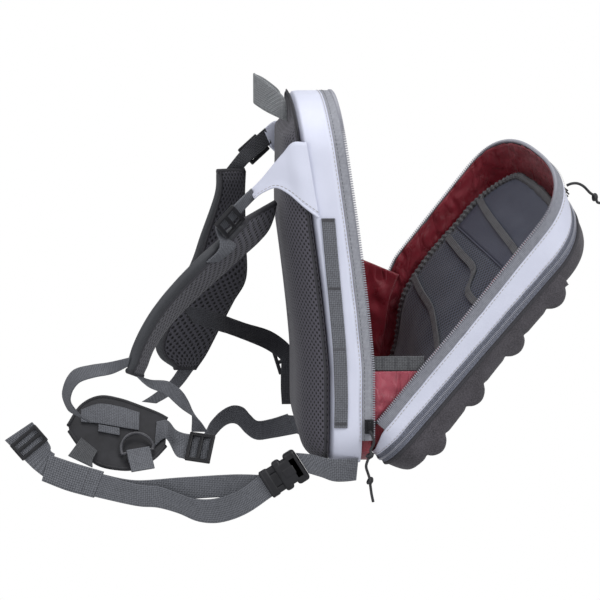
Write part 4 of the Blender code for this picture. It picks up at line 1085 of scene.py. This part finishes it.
near_web = rows_of([(-110.9, 119.9, 270.1, -99.3, 114.9, 260.5), (-115, 131, 260, -103, 125.4, 250),
    (-119, 142.6, 249, -107, 137.4, 239), (-118, 151, 238, -108, 145, 229), (-107, 147, 217, -95, 131, 217),
    (-103.6, 158.3, 203.6, -89.7, 146.4, 201.9)])
far_web = rows_of([(105.7, 97.5, 313.7, 104.7, 90.6, 298.3), (101, 110, 303, 96, 102, 289),
    (95, 123, 290, 90, 112, 282), (83, 137, 273.9, 91, 119, 273.9)])
lock_lift = (WEB + LOCK_THICK) / 2
webbing("yoke_webbing_near", "_strap", near_web, sewn=(0.005, 0.002))
webbing("yoke_webbing_far", "_strap", far_web, DARK_WEB, "dark_webbing", sewn=(0.003, 0.002))
ladder_lock("yoke_lock_near", *on_strap(near_web, 2, lock_lift + 0.0015, -1))
ladder_lock("yoke_lock_far", *on_strap(far_web, 1, lock_lift + 0.0024, 1), width=0.022)


# Shoulder straps: foam in a sleeve, spacer mesh on the wearer's side and smooth grey cloth on
# the outer side that folds over one edge, with a bound seam where the two meet.
PAD_THICK = 0.009
SMOOTH_GREY = cloth_of("smooth_grey_cloth", (0.03, 0.032, 0.036), (0.072, 0.075, 0.084), 0.6, 0.0009, 0.00008, 0.02)
PAD_MESH = mesh_finish("pad_mesh", 0.0052, (0.004, 0.004, 0.006), (0.085, 0.083, 0.1), 0.0012, (0.3, 0.85))


def shoulder_pad(name, table, seam):
    edges = strap_rows(table, 10)
    sides = {"mesh": [], "cloth": []}
    seam_line = []
    for i, (a, b) in enumerate(edges):
        normal = -lie_of(edges, i)[1]
        ends = min(1.0, 0.35 + 0.65 * smooth(min(i, len(edges) - 1 - i) / 5))

        def puff(s, up):
            h = (1 - abs(2 * s - 1) ** 3.5) ** 0.5
            buckle = 1 + 0.1 * noise((a.lerp(b, s)) / 0.02)
            return a.lerp(b, s) + normal * up * PAD_THICK / 2 * (0.22 + 0.86 * h * ends * buckle)

        sides["mesh"].append([puff(seam * k / 16, 1) for k in range(17)])
        sides["cloth"].append([puff(seam + (1 - seam) * k / 8, 1) for k in range(9)]
            + [puff(1 - k / 16, -1) for k in range(17)])
        seam_line.append(puff(seam, 1))
    for side, thick, finish, nodes in (("mesh", 0.0012, PAD_MESH, (name,)), ("cloth", 0.001, SMOOTH_GREY, ())):
        face = surface(name + "_" + side, sides[side], thick=thick, offset=0)
        keep(face, finish, "air_mesh", *nodes)
    rolled(name + "_binding", seam_line, 0.0016, BINDING, "air_mesh", up=Y_AXIS)
    rolled(name + "_rim", [a for a, b in edges], 0.0019, BINDING, "air_mesh", up=Y_AXIS)
    for label, i in (("top", 0), ("end", -1)):
        cap = place_rows([edges[i][0], edges[i][1]], 12)
        rolled(name + "_" + label + "_binding", cap, 0.003, BINDING, "air_mesh", up=Z_AXIS)


near_pad = rows_of([(-66, 92, 255, -94, 128, 238), (-65, 95, 240, -97, 141, 229), (-62, 103, 224, -101, 152, 218),
    (-58, 125, 203, -104, 164, 208), (-56, 146, 184, -106, 177, 195), (-54, 167, 165, -107, 192, 179),
    (-54, 185, 148, -107, 205, 163), (-56, 201, 130, -106, 217, 145), (-59, 214, 110, -102, 229, 120),
    (-64, 223, 86, -96, 236, 96)])
far_pad = rows_of([(92, 117, 273, 80, 145, 273), (94, 118, 245, 76, 147, 250), (96, 117, 200, 72, 162, 208),
    (96, 117, 162, 70, 172, 180), (94, 130, 138, 68, 190, 145), (90, 146, 108, 66, 207, 104),
    (84, 158, 86, 66, 205, 86), (78, 168, 72, 66, 190, 74)])
shoulder_pad("shoulder_pad_near", near_pad, 0.8)
shoulder_pad("shoulder_pad_far", far_pad, 0.9)


# Webbings at the lower ends of the padded straps, the cross strap with its lock and tail, and
# the patch on the far side that it comes from.
right_web = rows_of([(-67.2, 224.7, 85.8, -77.4, 228.9, 89.0), (-67, 214, 82, -78, 216, 77),
    (-60, 196, 79, -72, 199, 68), (-46, 182, 65, -60, 185, 53), (-28, 174, 44, -36, 168, 37),
    (-15, 174, 22, -18, 158, 22)])
webbing("pad_webbing_near_right", "_strap", right_web, sewn=(0.003, 0))
left_web = rows_of([(-98.3, 237.1, 108.7, -95.7, 240.3, 97.9), (-84, 253, 103, -89, 251, 92),
    (-70, 272, 98, -84, 268, 88), (-56, 291, 90, -72, 285, 80), (-44, 301, 68, -60, 293, 62),
    (-34, 296, 48, -44, 284, 44), (-22, 282, 40, -30, 274, 34)])
webbing("pad_webbing_near_left", "_strap", left_web, sewn=(0.005, 0))
webbing("pad_webbing_far", "_strap", rows_of([(77.0, 169.5, 71.0, 68.0, 185.5, 72.6), (64, 183, 55, 56, 196, 60),
    (48, 196, 47, 42, 212, 50), (40, 207, 42, 34, 222, 45)]), SHADED_WEB, "dark_webbing", sewn=(0.004, 0.002))
cross = rows_of([(-44, 185, 152, -36, 172, 134), (-20, 163, 146, -12, 152, 124), (20, 142, 134, 26, 134, 113),
    (60, 118, 120, 66, 112, 99), (98, 90, 106, 98, 97, 88), (115, 70, 89, 115, 86, 79), (118, 61, 73, 118, 79, 72),
    (118, 61, 58, 118, 79, 58), (118, 61, 42, 118, 79, 42), (118, 60, 26, 118, 78, 26)])
webbing("cross_strap", "_webbing", cross, DARK_WEB, "dark_webbing")
ladder_lock("cross_lock", *on_strap(cross, 6, lock_lift + 0.0009, 1))
patch_x = HALF + APART + WEB / 2
seam_y = BODY_DEPTH * 0.74 + SIDE_WEB_WIDTH / 2 + APART
webbing("cross_anchor", "_patch", [(patch_x, seam_y + bow(z), z, patch_x, seam_y + REACH * 0.085 + bow(z), z)
    for z in (BODY_HEIGHT * 0.135, BODY_HEIGHT * 0.165, BODY_HEIGHT * 0.195)], slack=0.0)


# Harness plate: a curled sheet of black rubber that the webbings are sewn to, with a rolled
# rim, strips of webbing, and a D-ring that swings in a loop of webbing at its lower edge.
PLATE_THICK = 0.0025
D_WIDTH = 0.036
D_HEIGHT = 0.026
D_WIRE = 0.0032
RUBBER = plastic_finish("black_rubber", (0.02, 0.02, 0.023), 0.6)
top = rows_of([(6, 297, 25, 4, 296, 20), (22, 284, 42, -12, 284, 6), (27, 266, 50, -24, 268, -8),
    (28, 246, 47, -27, 246, -13), (27, 226, 40, -27, 228, -12), (25, 208, 33, -20, 212, -4),
    (22, 198, 28, -8, 200, 6)])
plate_edges = pairs_of(top)
webbing("harness_plate", "_sheet", top, RUBBER, "black_rubber", PLATE_THICK, slack=0.0)
for label, edge in zip(("low", "high"), zip(*plate_edges)):
    rolled("harness_plate_rim_" + label, place_rows(edge, 8), 0.0021, RUBBER, "black_rubber", up=X_AXIS)


def over_plate(i, share, up):
    """Place over the plate at row i, at a share across it, lifted off its near face."""
    a, b = plate_edges[i]
    normal = lie_of(plate_edges, i)[1]
    return a.lerp(b, share) + normal * copysign(PLATE_THICK / 2 + APART + up, -normal.x)


def plate_row(i, low, high, lift=0.0004):
    """Row of webbing on the plate at its row i, between two shares across it."""
    return (*over_plate(i, low, WEB / 2 + lift), *over_plate(i, high, WEB / 2 + lift))


webbing("plate_webbing", "_strap", [plate_row(i, 0.12, 0.42) for i in (1, 2, 3, 4)], slack=0.0)
webbing("plate_low", "_patch", [plate_row(i, 0.435, 0.54) for i in (2, 3)], slack=0.0, nodes=())
lock_rows = [plate_row(5, 0.22, 0.78, 0.0006), plate_row(6, 0.12, 0.8, 0.0006)]
lock_rows += rows_of([(8, 190, 20, -16, 190, -2), (-2, 183, 18, -19, 183, -5), (-7, 174, 17, -21, 174, -7),
    (-10, 165, 16, -23, 165, -8), (-13, 156, 15, -25, 156, -9)])
webbing("plate_strap", "_webbing", lock_rows)
ladder_lock("lower_lock", *on_strap(lock_rows, 5, lock_lift + 0.0012, -1))

bar_mid = over_plate(4, 0.8, D_WIRE / 2 + 0.003)
bar_dir = (over_plate(5, 0.8, 0) - over_plate(3, 0.8, 0)).normalized()
rise = over_plate(4, 0.4, 0) - over_plate(4, 0.8, 0)
rise = (rise - bar_dir * rise.dot(bar_dir)).normalized()
wide, tall = D_WIDTH / 2 - D_WIRE / 2, D_HEIGHT - D_WIRE
ring = [(wide * (k / 8 - 1), 0) for k in range(16)]
ring += [(wide * cos(a), tall * (0.12 + 0.88 * sin(a))) for a in (radians(5 * i) for i in range(1, 36))]
ring_rows = []
for i, (u, v) in enumerate(ring):
    nu, nv = ring[(i + 1) % len(ring)]
    pu, pv = ring[i - 1]
    d = (bar_dir * (nu - pu) + rise * (nv - pv)).normalized()
    side = bar_dir.cross(rise)
    lean = d.cross(side)
    ring_rows.append([bar_mid + bar_dir * u + rise * v + (side * sin(a) + lean * cos(a)) * D_WIRE / 2
        for a in (tau * k / 14 for k in range(14))])
keep(surface("d_ring_wire", ring_rows, around=True, hoop=True), HIGHLIT_RING_STEEL, "black_steel", "d_ring", body="d_ring")
out = bar_dir.cross(rise)
if out.x > 0:
    out = -out
hold = D_WIRE / 2 + APART + WEB / 2
loop_half = D_WIDTH / 2 - D_WIRE - 0.003
path = [bar_mid - out * hold - rise * 0.01]
path += [bar_mid + rise * cos(radians(a)) * hold + out * sin(radians(a)) * hold for a in (-90, -40, 10, 50, 90)]
path += [bar_mid + out * hold * 0.8 - rise * 0.012, bar_mid + out * hold * 0.5 - rise * 0.024]
webbing("d_ring_loop", "_strap", [(*(p - bar_dir * loop_half), *(p + bar_dir * loop_half)) for p in path], slack=0.0)


# Waist belt: webbing wings from the body's lower corners, a side-release buckle that is
# fastened, its adjusting strap in two strands, the heavy sleeve, ribbed elastic and a tri-glide.
WEB_HEAVY = 0.0022
BUCKLE_LENGTH = 0.042
BUCKLE_WIDTH = 0.034
BUCKLE_THICK = 0.01
for place, out_x in (("near", -1), ("far", 1)):
    webbing("belt_anchor_" + place, "_strap", rows_of([(out_x * 101.6, 13, 8.6, out_x * 98.5, 15, -14),
        (out_x * 103.5, 24, 8.6, out_x * 99, 26, -15), (out_x * 107, 40, 9, out_x * 101, 38, -14),
        (out_x * 109.5, 58, 14, out_x * 107, 49, -9), (out_x * 110, 74.6, 16.1, out_x * 110, 62.0, -4.3)]))
along, across = Vector((0, 0.85, -0.53)), Vector((0, 0.53, 0.85))
buckle_mid = Vector((-0.11, 0.0864, -0.005))
female, male = BUCKLE_LENGTH * 0.62, BUCKLE_LENGTH * 0.36
moulded("buckle_socket", "_body", [((female, BUCKLE_WIDTH * 0.78, BUCKLE_THICK), (0, 0, 0), 0.0034),
    ((female * 0.5, BUCKLE_WIDTH, BUCKLE_THICK), (-female * 0.25, 0, 0), 0.0034),
    ((female * 0.34, BUCKLE_WIDTH * 0.96, BUCKLE_THICK * 0.96), (female * 0.33, 0, 0), 0.003),
    ((female * 0.5, BUCKLE_WIDTH * 0.3, BUCKLE_THICK + 0.0012), (female * 0.06, 0, 0), 0.0018),
    ((0.003, BUCKLE_WIDTH * 0.8, BUCKLE_THICK + 0.001), (-female * 0.4, 0, 0), 0.001)],
    buckle_mid - along * (male / 2 + 0.00015), along, across)
plug = [((male * 0.66, BUCKLE_WIDTH * 0.86, BUCKLE_THICK * 0.76), (male * 0.17, 0, 0), 0.0028)]
plug += [((male + 0.004, BUCKLE_WIDTH * w, BUCKLE_THICK * h), (-0.002, BUCKLE_WIDTH * shift, 0), 0.002)
    for w, h, shift in ((0.2, 0.6, 0.3), (0.2, 0.6, -0.3), (0.42, 0.66, 0))]
plug += [((0.003, BUCKLE_WIDTH * 0.84, BUCKLE_THICK * 0.88), (male * 0.36, 0, 0), 0.0012)]
moulded("buckle_plug", "_body", plug, buckle_mid + along * (female / 2 + 0.00015), along, across)
into_sleeve = [(-0.0585, 0.267, -0.011, -0.0585, 0.2755, -0.0333)]
webbing("waist_strap_near", "_webbing", rows_of([(-110, 110.9, -6.2, -110, 98.1, -27.0),
    (-106, 130, -21, -106, 122, -44), (-94, 152, -31, -94, 147, -55), (-84, 172, -33, -84, 168, -56),
    (-77, 190, -28, -77, 188, -49), (-72, 206, -23, -72, 208, -44), (-66, 230, -21, -66, 230, -43),
    (-59.2, 261.0, -13, -59.2, 269.4, -35)]) + into_sleeve, sewn=(0.003, 0))
webbing("waist_strap_back", "_webbing", rows_of([(-108.1, 111.1, -5.6, -108.1, 98.3, -26.4),
    (-97, 130, -7, -97, 126, -29), (-84, 150, -10, -84, 149, -32), (-68, 189, -15, -68, 189, -37),
    (-58, 230, -19, -58, 230, -41), (-56.8, 261.0, -13, -56.8, 269.4, -35)]) + into_sleeve, sewn=(0.003, 0))
sleeve = rows_of([(-58, 261, -10, -58, 271, -36), (-51, 288, -3, -51, 297, -30), (-45, 314, 5, -45, 322, -21)])
webbing("strap_sleeve", "_webbing", sleeve, HEAVY_WEB, thick=WEB_HEAVY * 2, slack=0.0)
sleeve_edges = strap_rows(sleeve, 8)
sleeve_seam = [sleeve_edges[4][0].lerp(sleeve_edges[4][1], k / 12) + Vector((-WEB_HEAVY * 1.05, 0, 0))
    for k in range(13)]
stitched("sleeve_stitches", sleeve_seam, Y_AXIS, DARK_THREAD, "grey_webbing")
elastic = [(*plate_row(1, 0.8, 0.8)[:3], *plate_row(2, 0.84, 0.84)[3:])]
elastic += rows_of([(-30, 290, 10, -36, 272, -2), (-44, 296, 4, -52, 272, -6.5)])
webbing("elastic_strap", "_webbing", elastic, ELASTIC)
glide = rows_of([(-45, 358, 20, -45, 331, 38), (-45, 347.5, 9, -45, 321, 26.5), (-45, 337, -2, -45, 313.5, 14),
    (-45, 329, -10, -45, 313, 9), (-45.6, 317.0, -19.5, -45.6, 309.0, 6.0)])
webbing("glide_strap", "_webbing", glide)
glide_place = on_strap(glide, 1, (WEB + LOCK_THICK * 0.7) / 2 + APART, -1)
moulded("tri_glide", "_frame", [((0.02, 0.0033, 0.0028), (0, s * 0.0148, 0), 0.001) for s in (-1, 1)]
    + [((0.0034, 0.03, h), (s * 0.0083, 0, 0), 0.001) for s, h in ((-1, 0.0028), (0, 0.0024), (1, 0.0028))],
    *glide_place)
webbing("waist_strap_far", "_webbing", rows_of([(110, 75.2, 16.3, 110, 62.8, -3.9), (109, 90, 12, 108, 88, -8),
    (99, 104, 12, 99, 105, -8), (90, 112, 20, 90, 116, 0), (78, 120, 30, 78, 126, 12), (64, 131, 34, 64, 135, 15),
    (48, 143, 31, 48, 144, 12), (30, 153, 24, 30, 153, 4), (8, 160, 16, 6, 158, -4), (-4, 163, 14, -5, 160, -4)]),
    SHADED_WEB, "dark_webbing", sewn=(0.003, 0))
